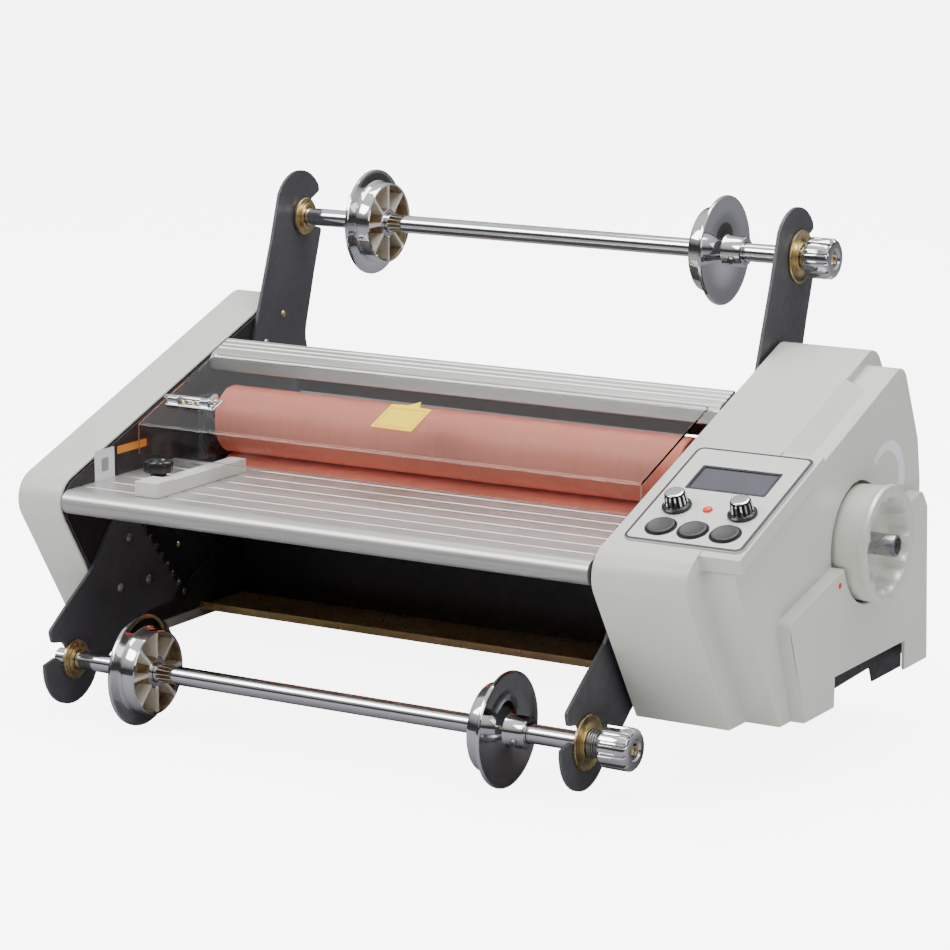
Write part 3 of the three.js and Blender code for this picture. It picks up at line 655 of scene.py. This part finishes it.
def dress_works():
    """The pieces inside: gears, motor, supply, board, heaters and lift blocks."""
    for node in ("left_lift_block", "right_lift_block", "upper_roller_gear", "lower_roller_gear",
                 "pull_roller_gear", "idler_gear", "drive_pinion", "drive_motor", "upper_heater",
                 "lower_heater", "handwheel_axle"):
        dress(node, STEEL, 0.2)
    dress("power_supply", CASE, 0.6)
    dress("control_board", BOARD, 0.2)
    dress("control_panel", PANEL, 0.25)
    dress("display_window", SCREEN, 0.4, 3)


# ---------------------------------------------------------------- rollers and shafts

def roller(node, y, body):
    """A rubber-covered roller with rounded rubber ends and steel journals."""
    low, high = millimetres(node)
    z = (low.z + high.z) / 2
    radius = (high.z - low.z) / 2
    rubber = (25, 500)
    journal = radius / 3 if y == HEAT_Y else 8
    bore = 7 if y == HEAT_Y else 3
    mesh = bmesh.new()
    profile = [(low.x, bore), (low.x, journal - 0.5), (low.x + 0.5, journal), (rubber[0], journal),
               (rubber[0], radius - 6), (rubber[0] - 0.01, radius - 1), (rubber[0] + 1, radius),
               (rubber[1] - 1, radius), (rubber[1] + 0.01, radius - 1), (rubber[1], radius - 6),
               (rubber[1], journal), (high.x - 0.5, journal), (high.x, journal - 0.5), (high.x, bore)]
    covered = range(4, 9)
    lathe(mesh, profile, along_x((y, z)), 128, ring=lambda i: 1 if i in covered else 0)
    piece(node + "_turned", mesh, [STEEL, SILICONE], body, [node])


def film_shaft(node, axis, body):
    """A chromed bar with chamfered ends and a brass stud for the tension knob."""
    low, high = millimetres(node)
    shoulder, radius = 545, 8.25
    mesh = turned([(low.x, 0), (low.x, radius - 1.2), (low.x + 1.2, radius), (shoulder - 1, radius),
                   (shoulder, radius - 1), (shoulder, 0)], along_x(axis))
    piece(node + "_bar", mesh, CHROME, body, [node])
    mesh = bmesh.new()
    start, pitch = shoulder - 0.5, 0.8
    thread = [(start, 0)]
    for i in range(int((high.x - shoulder) / pitch)):
        x = start + pitch * i
        thread += [(x, 4.4), (x + pitch / 2, 5.0)]
    thread += [(high.x - 0.2, 4.3), (high.x, 3.6), (high.x, 2.2), (high.x - 2.5, 0)]
    lathe(mesh, thread, along_x(axis), 48)
    piece(node + "_stud", mesh, BRASS, body)


def shaft_bush(node, axis):
    low, high = millimetres(node)
    radius = (high.z - low.z) / 2
    mesh = turned([(low.x, 9), (low.x, radius - 0.6), (low.x + 0.6, radius), (low.x + 2.7, radius),
                   (low.x + 3.3, radius - 0.6), (low.x + 3.3, radius - 3.4), (low.x + 2.9, radius - 3.8),
                   (low.x + 3.3, radius - 4.2), (low.x + 3.3, 12.5), (high.x - 0.6, 12.5),
                   (high.x, 11.9), (high.x, 9)], along_x(axis))
    piece(node + "_turned", mesh, BRASS, "frame", [node])


def clutch_disc(node, axis, body):
    """A brass friction disc: a dished face, a bead round the rim and a short boss."""
    low, high = millimetres(node)
    radius = (high.z - low.z) / 2
    mesh = bmesh.new()
    x = low.x
    lathe(mesh, [(x, 9), (x, radius - 0.5), (x + 0.5, radius), (x + 1.6, radius), (x + 2.1, radius - 0.5),
                 (x + 2.1, radius - 2.5), (x + 1.5, radius - 3.5), (x + 1.5, 15), (x + 2.2, 13),
                 (high.x - 0.5, 13), (high.x, 12.5), (high.x, 9)], along_x(axis))
    piece(node + "_turned", mesh, BRASS, body, [node])


def tension_knob(node, axis, body):
    """A chromed knob with broad flutes, a tapered neck and a turned recess round its stud."""
    low, high = millimetres(node)
    flutes, flute_depth, first_turn = 12, 2.4, 0.13

    def fluted(_along, radius, angle):
        if radius < 15.5:
            return radius
        return radius - flute_depth * max(0.0, math.cos(flutes * angle)) ** 3

    inner, outer = low.x, high.x
    neck, bottom = inner + 4.5, inner + 15
    profile = [(inner, 8.8), (inner, 10.4), (neck, 13), (neck, 15.6), (neck + 1.4, 18),
               (inner + 0.5 * (outer - inner), 18), (outer - 3.2, 18), (outer - 1.6, 17.2),
               (outer - 0.2, 15.3), (outer, 14.6), (outer, 9.4), (outer - 1.4, 8.2), (outer - 1.4, 5.5),
               (bottom, 5.5), (bottom, 8.8)]
    mesh = turned(profile, along_x(axis, first_turn), 192, fluted)
    piece(node + "_fluted", mesh, CHROME, body, [node])


def helix(name, axis, span, radii, wire, turns, body):
    """A coil spring whose radius may change along it."""
    steps, sides = 28 * turns, 10
    line = []
    for i in range(steps + 1):
        t = i / steps
        angle = TURN * turns * t
        radius = radii[0] + t * (radii[1] - radii[0])
        line.append(Vector((span[0] + t * (span[1] - span[0]), axis[0] + radius * math.cos(angle),
                            axis[1] + radius * math.sin(angle))))
    mesh = bmesh.new()
    rings = []
    for i, point in enumerate(line):
        ahead = (line[min(i + 1, steps)] - line[max(i - 1, 0)]).normalized()
        out = Vector((0, point.y - axis[0], point.z - axis[1])).normalized()
        across = ahead.cross(out).normalized()
        out = across.cross(ahead)
        angles = [TURN * k / sides for k in range(sides)]
        rings.append([mesh.verts.new(point + wire * (out * math.cos(a) + across * math.sin(a)))
                      for a in angles])
    capped(mesh, rings)
    piece(name, mesh, STEEL, body)


# ---------------------------------------------------------------- core chucks

SPOKES = 8


def chuck(node, axis, body):
    """A domed flange with a clamp collar outside and a spoked cup for the film's core inside."""
    low, high = millimetres(node)
    facing = 1 if "left" in node else -1
    reach = 20
    flange = low.x + reach if facing > 0 else high.x - reach
    place = along_x(axis)
    along = lambda profile: [(flange + facing * d, r) for d, r in profile]

    mesh = turned(along([
          (-reach, 8.8), (-reach, 12.4), (1.2 - reach, 13.5), (-3, 13.5), (-1.2, 14.5), (0.2, 18),
          (1.6, 27), (1.6, 36), (0.6, 44), (0.4, 48), (1.0, 48.8), (2.2, 49), (3.4, 48.8), (4, 48),
          (4.2, 44), (5.2, 39.2), (6.4, 38), (17.2, 37.6), (18.9, 37), (19.6, 36), (19.2, 35.2),
          (17, 34.9), (6, 34.6), (5, 34), (5, 14.6), (6, 13.4), (18.6, 13), (19, 12.5), (19, 8.8)]),
          place, 128)
    piece(node + "_shell", mesh, CHROME, body, [node])

    mesh = bmesh.new()
    for k in range(SPOKES):
        spoke(mesh, place, flange, facing, TURN * k / SPOKES)
    piece(node + "_spokes", mesh, SPOKE_METAL, body)

    mesh = turned(along([(5.1, 13.8), (5.1, 34.4), (17.6, 34.8), (17.6, 34.3), (6.6, 33.9), (5.7, 33),
                         (5.7, 15.2), (6.6, 14.3), (17.6, 13.9), (17.6, 13.4)]), place, 96)
    piece(node + "_cup", mesh, CAST, body)

    for k in range(2):
        collar_screw(f"{node}_screw_{k}", axis, flange - facing * 11, TURN * k / 3 + 3.6, body)


def spoke(mesh, place, flange, facing, angle):
    """A radial rib that flares a little where it meets the cup's wall."""
    stations = ((13.2, 1.7), (17, 1.3), (30, 1.3), (35, 2.0))
    rings = []
    for radius, half in stations:
        corner = lambda d, side: place(flange + facing * d, math.hypot(radius, half),
                                       angle + side * half / radius)
        rings.append([mesh.verts.new(corner(d, side))
                      for d, side in ((5.2, -1), (18.4, -1), (18.4, 1), (5.2, 1))])
    capped(mesh, rings)


def collar_screw(name, axis, x, angle, body):
    """A socket screw set radially in a clamp collar."""
    out = Vector((0, math.cos(angle), math.sin(angle)))
    across = Vector((0, -math.sin(angle), math.cos(angle)))
    base, seat = Vector((x, *axis)), 12.6
    place = lambda h, r, a: (base + out * (seat + h) + Vector((r * math.cos(a), 0, 0))
                             + across * (r * math.sin(a)))
    mesh = turned([(0, 0), (0, 3.2), (3.4, 3.2), (3.9, 2.7), (3.9, 1.7), (2, 1.7), (2, 0)], place, 24)
    piece(name, mesh, STEEL, body)


# ---------------------------------------------------------------- screws

def screw_head(name, point, facing, radius, material):
    """A button-head screw with a hexagon socket, standing out along X: facing is 1 or -1."""
    x, y, z = point
    place = lambda h, r, a: (x + facing * h, y + r * math.cos(a), z + r * math.sin(a))
    socket = 0.42 * radius
    height = 0.55 * radius

    def hexagon(_along, r, a):
        return r / math.cos((a % (TURN / 6)) - TURN / 12) * 0.87 if r < socket * 1.01 else r

    dome = [(height * math.sin(t), radius * math.cos(t)) for t in (0.0, 0.4, 0.8, 1.1)]
    profile = [(0, 0), *dome, (height, socket), (height * 0.4, socket), (height * 0.4, 0)]
    mesh = turned(profile, place, 36, hexagon)
    piece(name, mesh, material, "frame")


def arm_screws():
    """The screws that hold the film arms to the side plates."""
    upper_brass, upper_steel = (-36, -89), (-65, -113)
    screw_head("upper_arm_screw_brass", (LEFT_ARM_FACE, *upper_brass), 1, 3.4, BRASS)
    screw_head("upper_arm_screw_steel", (LEFT_ARM_FACE, *upper_steel), 1, 4.2, STEEL)
    for k, place in enumerate(((-286, -257), (-258, -301), (-301, -300))):
        screw_head(f"lower_arm_screw_{k}", (LEFT_ARM_FACE, *place), 1, 4.4, STEEL)
        screw_head(f"lower_arm_screw_right_{k}", (RIGHT_LOWER_ARM_FACE, *place), -1, 4.4, STEEL)
    for k, place in enumerate((upper_brass, upper_steel)):
        screw_head(f"upper_arm_screw_right_{k}", (RIGHT_UPPER_ARM_FACE, *place), -1, 3.8, STEEL)
    screw_head("plate_rivet", (-0.3, -207, -279), 1, 2.6, BRASS)


def plate_eyelets():
    """A row of small steel eyelets in the holes that run down the left side plate."""
    count, first, step = 8, (-258, -254), (59, -71)
    profile = [(-2.2, 1.0), (-2.2, 1.9), (-0.3, 1.9), (-0.25, 2.9), (0.1, 2.6), (0.25, 1.9), (0.1, 1.2),
               (-0.3, 1.0)]
    for k in range(count):
        t = k / (count - 1)
        y, z = first[0] + step[0] * t, first[1] + step[1] * t
        if not eyelet_is_covered(y, z):
            mesh = turned(profile, along_x((y, z)), 24)
            piece(f"plate_eyelet_{k}", mesh, STEEL, "frame")


def eyelet_is_covered(y, z):
    """True in front of the lower film arm's straight rear edge, where it lies over the side plate."""
    (y0, z0), (y1, z1), margin = (-267, -250), (-212, -318), 4
    return y - margin < y0 + (z - z0) * (y1 - y0) / (z1 - z0)


def slot_backing():
    """A black cable shield behind the curved slot in the left side plate."""
    mesh = bmesh.new()
    prism(mesh, rounded_box(-212, -120, -330, -268, 6), -6, -3.2, facing_x)
    piece("cable_shield", mesh, BLACK_PAINT, "frame")


def hand_hold_shade_sheet():
    """A black sheet inside the cover just behind its hand hold. It stands for the black side plate seen
    through the hand hold and for the shade inside the cover: partly painted shade.
    """
    sheet = [(-190, -300), (-190, -343), (-76, -339), (-70, -353), (-10, -353), (-10, -300)]
    mesh = bmesh.new()
    prism(mesh, sheet, 632, 633.4, facing_x)
    piece("hand_hold_shade_sheet", mesh, BLACK_PAINT, "frame")


# ---------------------------------------------------------------- handwheel

def handwheel():
    """A drum with a broad rolled rim, a deep scalloped dish, and a steel hub with a dark end."""
    lobes = 11
    dish_wall, floor_x = 40.0, 651.0

    def scalloped(along, radius, angle):
        if not 27 < radius < 43.5 or along < floor_x - 0.5:
            return radius
        scallop = abs(math.sin(lobes * angle / 2))
        return radius - 4.2 * (1 - scallop) ** 1.6

    low, high = millimetres("pressure_handwheel")
    mesh = bmesh.new()
    drum = [(low.x, 6.6), (low.x, 47.0), (low.x + 0.8, 48.2), (low.x + 2.2, 48.6), (650, 48.9), (664, 49.3)]
    rim = [(666, 49.8), (667.6, 50.6), (669.4, 51), (671, 50.7), (672.2, 49.8), (672.7, 48.4),
           (672.8, 46.6), (672.6, 44.9), (672.0, 43.4), (670.8, 42.2), (668.5, 41.2)]
    dish = [(664, dish_wall + 0.4), (657, dish_wall), (653.6, dish_wall - 0.8), (651.8, dish_wall - 3),
            (floor_x, dish_wall - 7), (floor_x, 20), (floor_x + 0.4, 14), (floor_x + 2, 11.6),
            (floor_x + 2, 6.6)]
    lathe(mesh, drum + rim + dish, along_x(WHEEL), 264, scalloped)
    piece("pressure_handwheel_cast", mesh, WHEEL_SILVER, "handwheel",
          ["pressure_handwheel"])
    mesh = turned([(floor_x + 1.5, 6.7), (floor_x + 1.5, 9.9), (floor_x + 5, 9.5), (high.x - 1.4, 9.5),
                   (high.x - 0.3, 8.9), (high.x, 7.9), (high.x, 6.7)], along_x(WHEEL), 96)
    piece("handwheel_hub", mesh, STEEL, "handwheel")
    mesh = turned([(high.x - 4.5, 0), (high.x - 4.5, 6.6), (high.x - 1.2, 6.6), (high.x - 0.7, 6.1),
                   (high.x - 0.7, 2.6), (high.x - 1.9, 2.1), (high.x - 1.9, 0)], along_x(WHEEL), 64)
    piece("handwheel_hub_plug", mesh, DARK_PLASTIC, "handwheel")


def wheel_marks():
    """A plain curved scale label and a red pointer dot on the right cover."""
    upper_face, foot_face = 643.05, 655.05
    centre, outer = (-71, -176.6), 36.5
    start, sweep, steps = math.radians(-13), math.radians(153), 32
    inner_points = []
    for i in range(steps, -1, -1):
        a = start + sweep * i / steps
        inner = outer - 6.5 - 7.5 * (1 - i / steps) ** 1.3
        inner_points.append((centre[0] + inner * math.cos(a), centre[1] + inner * math.sin(a)))
    mesh = bmesh.new()
    label = arc(centre, outer, start, sweep, steps) + inner_points
    prism(mesh, label, upper_face, upper_face + 0.2, facing_x)
    piece("pressure_scale_label", mesh, PRINT_WHITE, "frame")
    mesh = turned([(foot_face, 0), (foot_face, 2.6), (foot_face + 0.5, 2.4), (foot_face + 0.8, 1.4),
                   (foot_face + 0.9, 0)], along_x((-187, -241)), 32)
    piece("pressure_pointer_dot", mesh, PRINT_RED, "frame")


# ---------------------------------------------------------------- console

def panel_border():
    low, high = millimetres("control_panel")
    x0, x1 = low.x, high.x
    down0, down1 = 149, 293
    mesh = bmesh.new()
    outer = rounded_box(x0 + 0.2, x1 - 0.2, down0 + 0.2, down1 - 0.2, 6.8, 8)
    inner = rounded_box(x0 + 2.3, x1 - 3.2, down0 + 2.2, down1 - 2.9, 5.0, 8)
    ring_prism(mesh, outer, inner, 1.75, 2.0, facing_slope)
    piece("panel_border", mesh, PRINT_BLACK, "frame")


def display_shadow_ring():
    # A thin glossy black ring round the display: it stands for the shadow along the edge of the display's
    # recess, a painted shadow.
    mesh = bmesh.new()
    outer = rounded_box(555.3, 627.7, 175.8, 212.2, 1.2)
    inner = rounded_box(558.0, 625.6, 178.6, 210.2, 0.7)
    ring_prism(mesh, outer, inner, 1.75, 2.15, facing_slope)
    piece("display_shadow_ring", mesh, BLACK, "frame")


def control_knob(node, x, down):
    """A black skirt with a pointer line, and a grooved barrel with a bright cap and chrome strips that are
    painted highlights.
    """
    grooves = 14
    place = on_slope(x, down)

    def grooved(out, radius, angle):
        if 5.5 < out < 15.4 and radius > 7:
            return radius - 1.1 * max(0.0, math.cos(grooves * angle)) ** 2
        return radius

    mesh = turned([(-14, 0), (-14, 3), (2.2, 3), (2.2, 12.1), (2.8, 12.5), (4.0, 12.3), (5.2, 11.0),
                   (5.6, 9.9), (5.9, 9.6), (14.8, 8.6), (15.3, 8.2), (15.4, 7.0), (15.4, 0)],
                  place, 168, grooved)
    piece(node + "_body", mesh, BLACK, node, [node])
    # The bright cap, and chrome strips on the barrel's lands that are painted highlights.
    mesh = turned([(15.1, 0), (15.1, 7.6), (15.9, 7.9), (16.3, 7.4), (16.5, 6.2), (16.3, 0)], place, 96)
    highlight_strips_on_barrel(mesh, place, grooves)
    piece(node + "_bright", mesh, CHROME, node)
    mesh = bmesh.new()
    line = [(x - 0.6, down - 12.0), (x + 0.6, down - 12.0), (x + 0.6, down - 9.7), (x - 0.6, down - 9.7)]
    prism(mesh, line, 4.6, 5.65, facing_slope)
    piece(node + "_pointer", mesh, PRINT_WHITE, node)


def highlight_strips_on_barrel(mesh, place, grooves):
    """Chrome strips on the lands between a knob's grooves: painted highlights that stand for the light on the
    black flutes.
    """
    half_angle, thickness = 0.075, 0.28
    section = ((0, -1), (thickness, -1), (thickness, 1), (0, 1))
    for k in range(grooves):
        land = TURN * (k + 0.5) / grooves
        corner = lambda out, radius, lift, side: mesh.verts.new(
            place(out, radius + lift, land + side * half_angle))
        capped_ends(mesh, [[corner(out, radius, *spot) for spot in section]
                           for out, radius in ((6.6, 9.42), (14.6, 8.52))])


def push_button(node, x, down):
    """A round black button, dished on top, in a thin black ring."""
    place = on_slope(x, down)
    mesh = turned([(-12.6, 0), (-12.6, 3), (-4, 3), (-4, 11.7), (3.3, 11.7), (4.0, 11.3), (4.3, 10.5),
                   (4.25, 9.6), (3.7, 7.5), (3.4, 4), (3.3, 0)], place, 96)
    piece(node + "_cap", mesh, DARK_PLASTIC, node, [node])
    mesh = turned([(1.75, 12.2), (1.75, 13.5), (2.1, 13.5), (2.5, 13.1), (2.5, 12.5), (2.2, 12.2)], place, 96)
    piece(node + "_ring", mesh, BLACK, "frame")


def status_lamp(x, down):
    place = on_slope(x, down)
    mesh = turned([(-8, 0), (-8, 3.9), (1.9, 3.9), (1.9, 4.1), (2.7, 4.0), (3.7, 3.3), (4.3, 1.9), (4.4, 0)],
            place, 64)
    piece("status_lamp_lens", mesh, RED, "frame", ["status_lamp"])


def console():
    """The printed border, a black ring round the display that is a painted shadow of its recess, and the
    knobs, buttons and lamp at their places on the slope.
    """
    panel_border()
    display_shadow_ring()
    for node, x in (("speed_knob", 562.5), ("temperature_knob", 621.5)):
        control_knob(node, x, 240.5)
    for node, x in (("start_button", 563), ("stop_button", 591.8), ("reverse_button", 620.6)):
        push_button(node, x, 271)
    status_lamp(590, 240)


# ---------------------------------------------------------------- guide, shield and labels

def clamp_knob():
    """A lobed black knob with a dished top, on a short neck and a steel screw."""
    low, high = millimetres("guide_clamp_knob")
    x, y = (low.x + high.x) / 2, (low.y + high.y) / 2
    base = high.z - 17
    lobes = 8

    def lobed(_z, radius, angle):
        return radius + 0.9 * math.cos(lobes * angle) if radius > 10 else radius

    mesh = turned([(base + 0.1, 0), (base + 0.1, 8), (base + 2, 7.4), (base + 6, 6.8), (base + 6.6, 10.4),
                   (base + 7.4, 12.1), (base + 8.6, 12.5), (base + 14.6, 12.5), (base + 16.2, 11.9),
                   (base + 17, 10.6), (base + 16.9, 8.6), (base + 15.4, 7.6), (base + 15.2, 0)],
            upright(x, y), 160, lobed)
    piece("guide_clamp_knob_grip", mesh, BLACK, "guide_clamp_knob", ["guide_clamp_knob"])
    mesh = turned([(base - 6.4, 0), (base - 6.4, 2.3), (base - 6, 2.6), (base + 0.6, 2.6), (base + 0.6, 0)],
            upright(x, y), 32)
    piece("guide_clamp_screw", mesh, STEEL, "guide_clamp_knob")


def shield_latch():
    """A chromed barrel latch: a plate with rolled guides, a bolt with a finger tab, and two screws."""
    x0, x1 = 12, 66
    d0, d1 = 160, 178
    mid = (d0 + d1) / 2
    guide = ((-9, 1.3), (-9, 2.6), (-6, 5.4), (0, 6.3), (6, 5.4), (9, 2.6), (9, 1.3))
    mesh = bmesh.new()
    prism(mesh, rounded_box(x0, x1, d0, d1, 2.5), 0.15, 1.4, facing_slope)
    for a, b in ((x0 + 1, x0 + 12), (x1 - 18, x1 - 9)):
        prism(mesh, [(t * 0.5, h) for t, h in guide], a, b, lambda u, v, w: sloped(w, mid + u, v))
    piece("shield_latch_plate", mesh, CHROME, "shield", ["shield_latch"], 0.5)
    mesh = bmesh.new()
    bolt = lambda along, r, a: sloped(along, mid + r * math.cos(a), 4.0 + r * math.sin(a))
    lathe(mesh, [(x0 - 4, 0), (x0 - 4, 1.6), (x0 - 3, 2.1), (x1 - 2, 2.1), (x1 - 1, 1.6), (x1 - 1, 0)],
          bolt, 40)
    prism(mesh, rounded_box(x1 - 7.5, x1 - 2.5, d0 + 2.5, d0 + 12, 1.6), 3.2, 8, facing_slope)
    piece("shield_latch_bolt", mesh, CHROME, "shield")
    for k, x in enumerate((x0 + 17.5, x0 + 28)):
        mesh = turned([(1.3, 0), (1.3, 3.3), (2.4, 3.0), (3.3, 1.9), (3.3, 1.2), (2.2, 1.0), (2.2, 0)],
                on_slope(x, mid), 32)
        piece(f"shield_latch_screw_{k}", mesh, BRASS, "shield")


def shield_label():
    """A plain yellow tag stuck on the shield, with a narrow amber edge."""
    y0, y1 = -203, -240
    slope_z = lambda y: -111.5 + (y + 155.6) * (-154.5 + 111.5) / (-274 + 155.6)
    on_shield = lambda u, v, w: (u, v, slope_z(v) + 1.5 + w)
    mesh = bmesh.new()
    outline = [(230, y1), (272, y1 - 1), (271, y0 - 2), (258, y0 - 1), (254, y0 + 8), (246, y0 + 1),
               (229, y0)]
    prism(mesh, outline, 0.1, 0.35, on_shield)
    piece("shield_tag", mesh, PRINT_YELLOW, "shield")
    mesh = bmesh.new()
    outer = rounded_box(232, 269, y1 + 2, y0 - 5, 1)
    inner = rounded_box(233.2, 267.8, y1 + 3.4, y0 - 6.4, 0.8)
    ring_prism(mesh, outer, inner, 0.35, 0.45, on_shield)
    piece("shield_tag_line", mesh, PRINT_AMBER, "shield")


def side_labels():
    """Two plain labels on the left side plate's inner face: one white, one black with an orange band."""
    low, high = -199, -171
    back = -0.28
    labels = (("plate_label_white", -331, -302, low, high, PRINT_WHITE, 0.25),
              ("plate_label_mark", -321, -311, low + 8, high - 8, PRINT_GREY, 0.4),
              ("plate_label_black", -299, -252, low, high, PRINT_BLACK, 0.25),
              ("plate_label_band", -298, -253, high - 8, high - 1, PRINT_ORANGE, 0.4))
    for name, y0, y1, z0, z1, material, lift in labels:
        mesh = bmesh.new()
        prism(mesh, rounded_box(y0, y1, z0, z1, 1.2), back, back + lift, facing_x)
        piece(name, mesh, material, "frame")


def inlet_pins():
    """The three blades inside the mains inlet."""
    low, high = millimetres("power_inlet")
    centre = ((low.x + high.x) / 2, (low.z + high.z) / 2)
    face = lambda u, v, w: (u, w, v)
    mesh = bmesh.new()
    for dx, dz in ((-6, -1.5), (6, -1.5), (0, 3)):
        u, v = centre[0] + dx, centre[1] + dz
        prism(mesh, rounded_box(u - 0.9, u + 0.9, v - 2, v + 2, 0.6, 3), -20.5, -5, face)
    piece("inlet_blades", mesh, STEEL, "frame")


# ---------------------------------------------------------------- the whole object

dress_frame()
dress_works()
for name, y in (("upper_heat_roller", HEAT_Y), ("lower_heat_roller", HEAT_Y),
                ("upper_pull_roller", PULL_Y), ("lower_pull_roller", PULL_Y)):
    roller(name, y, name)
for level, axis in (("upper", UPPER_SHAFT), ("lower", LOWER_SHAFT)):
    film_shaft(f"{level}_film_shaft", axis, f"{level}_shaft")
    shaft_bush(f"{level}_shaft_bush", axis)
    clutch_disc(f"{level}_clutch_disc", axis, f"{level}_shaft")
    tension_knob(f"{level}_tension_knob", axis, f"{level}_tension_knob")
    for hand in ("left", "right"):
        chuck(f"{level}_{hand}_chuck", axis, f"{level}_{hand}_chuck")
helix("lower_tension_spring", LOWER_SHAFT, (524.6, 532.4), (11.6, 9.9), 0.8, 4, "lower_shaft")
arm_screws()
plate_eyelets()
slot_backing()
hand_hold_shade_sheet()
handwheel()
wheel_marks()
console()
clamp_knob()
shield_latch()
shield_label()
side_labels()
inlet_pins()


# ---------------------------------------------------------------- stage, light and camera

FLOOR_HALF = 15  # metres
FLOOR_GLOW = 6.0  # only as the camera sees it
SEEN_WHITE = 9.0  # what the camera sees of the world
WORLD_STRENGTH = 0.8
LIGHTS_AIM = Vector((0, 0, 0.25))
CAMERA_PLACE = (1.5333, -2.58643, 0.84433)
CAMERA_DIP, CAMERA_SWING = 11.836, 30.847  # degrees: below level, and about Z
SENSOR_MM, LENS_MM = 36, 133.69


def stage():
    """A pale floor level with the lowest point, and a pale block that fills the gap under the base. Both turn
    dark grey where glossy surfaces reflect them: a painted dark reflection.
    """
    floor_look = Surface("stage_floor", (0.9, 0.9, 0.9), 0.8)
    rays = floor_look.node("ShaderNodeLightPath")
    pale = floor_look.vary_colour(floor_look.noise(2), 0.01)
    # Glossy rays see the floor dark grey: a painted reflection, so the chrome shows dark bands.
    floor_look.feed(floor_look.mixed(rays.outputs["Is Glossy Ray"], pale, (0.2, 0.2, 0.22)), "Base Color")
    floor_look.set("Emission Color", (1, 1, 1, 1))
    seen = {0: rays.outputs["Is Camera Ray"], 1: FLOOR_GLOW}
    glow = floor_look.node("ShaderNodeMath", seen, operation="MULTIPLY").outputs[0]
    floor_look.feed(glow, "Emission Strength")
    mesh = bmesh.new()
    bmesh.ops.create_grid(mesh, x_segments=1, y_segments=1, size=FLOOR_HALF)
    floor = object_of("stage_floor", mesh)
    floor.location.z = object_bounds()[0].z
    floor.data.materials.append(floor_look.material)
    low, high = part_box("left_base_runner")[0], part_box("right_base_runner")[1]
    mesh = bmesh.new()
    bmesh.ops.create_cube(mesh, size=1)
    inset = 0.02
    size = Vector((high.x - low.x - inset, high.y - low.y - inset, low.z - CAD_BOX[0].z))
    centre = Vector(((low.x + high.x) / 2, (low.y + high.y) / 2, (low.z + CAD_BOX[0].z) / 2))
    for vertex in mesh.verts:
        vertex.co = centre + Vector(a * b for a, b in zip(vertex.co, size))
    block = object_of("stage_block", mesh)
    block.data.materials.append(floor_look.material)
    round_edges(block, 3)
    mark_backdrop(floor, block)


def softbox(name, location, size, energy):
    light = bpy.data.lights.new(name, "AREA")
    light.shape = "RECTANGLE"
    light.size, light.size_y = size
    light.energy = energy
    obj = bpy.data.objects.new(name, light)
    obj.location = location
    obj.rotation_euler = (LIGHTS_AIM - Vector(location)).to_track_quat("-Z", "Y").to_euler()
    bpy.context.scene.collection.objects.link(obj)


def studio_world():
    """White where the camera sees it; elsewhere a bright ceiling over darker walls, for the chrome."""
    world = bpy.data.worlds.new("studio")
    world.use_nodes = True
    nodes, links = world.node_tree.nodes, world.node_tree.links
    background = nodes["Background"]
    direction = nodes.new("ShaderNodeTexCoord").outputs["Generated"]
    split = nodes.new("ShaderNodeSeparateXYZ")
    links.new(direction, split.inputs[0])
    ramp = nodes.new("ShaderNodeValToRGB")
    height = nodes.new("ShaderNodeMapRange")
    height.inputs["From Min"].default_value = -1
    links.new(split.outputs["Z"], height.inputs["Value"])
    links.new(height.outputs["Result"], ramp.inputs["Fac"])
    stops = ((0.0, 0.8), (0.42, 0.7), (0.48, 0.08), (0.60, 0.05), (0.66, 0.35), (0.76, 0.75),
             (1.0, 1.25))
    elements = ramp.color_ramp.elements
    while len(elements) < len(stops):
        elements.new(1.0)
    for element, (position, value) in zip(elements, stops):
        element.position = position
        element.color = (value, value, value * 1.01, 1)
    mix = nodes.new("ShaderNodeMix")
    mix.data_type = "RGBA"
    seen = nodes.new("ShaderNodeLightPath").outputs["Is Camera Ray"]
    links.new(seen, mix.inputs[0])
    links.new(ramp.outputs["Color"], mix.inputs[6])
    mix.inputs[7].default_value = (SEEN_WHITE, SEEN_WHITE, SEEN_WHITE, 1)
    links.new(mix.outputs[2], background.inputs["Color"])
    background.inputs["Strength"].default_value = WORLD_STRENGTH
    bpy.context.scene.world = world


def camera():
    """The viewpoint: in front, to the right and a little above, with a long lens."""
    data = bpy.data.cameras.new("camera")
    data.sensor_width = SENSOR_MM
    data.lens = LENS_MM
    obj = bpy.data.objects.new("camera", data)
    obj.location = CAMERA_PLACE
    obj.rotation_euler = (math.radians(90 - CAMERA_DIP), 0, math.radians(CAMERA_SWING))
    bpy.context.scene.collection.objects.link(obj)
    bpy.context.scene.camera = obj


stage()
studio_world()
softbox("key", (-1.6, -2.0, 2.4), (1.8, 1.2), 62)
softbox("top", (0.2, 0.3, 2.6), (2.4, 1.6), 85)
softbox("side", (2.6, -0.6, 1.3), (0.9, 1.6), 8)
camera()

LOOKS_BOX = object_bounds()
({"cad": [list(corner) for corner in CAD_BOX],
           "visual": [list(corner) for corner in LOOKS_BOX]})
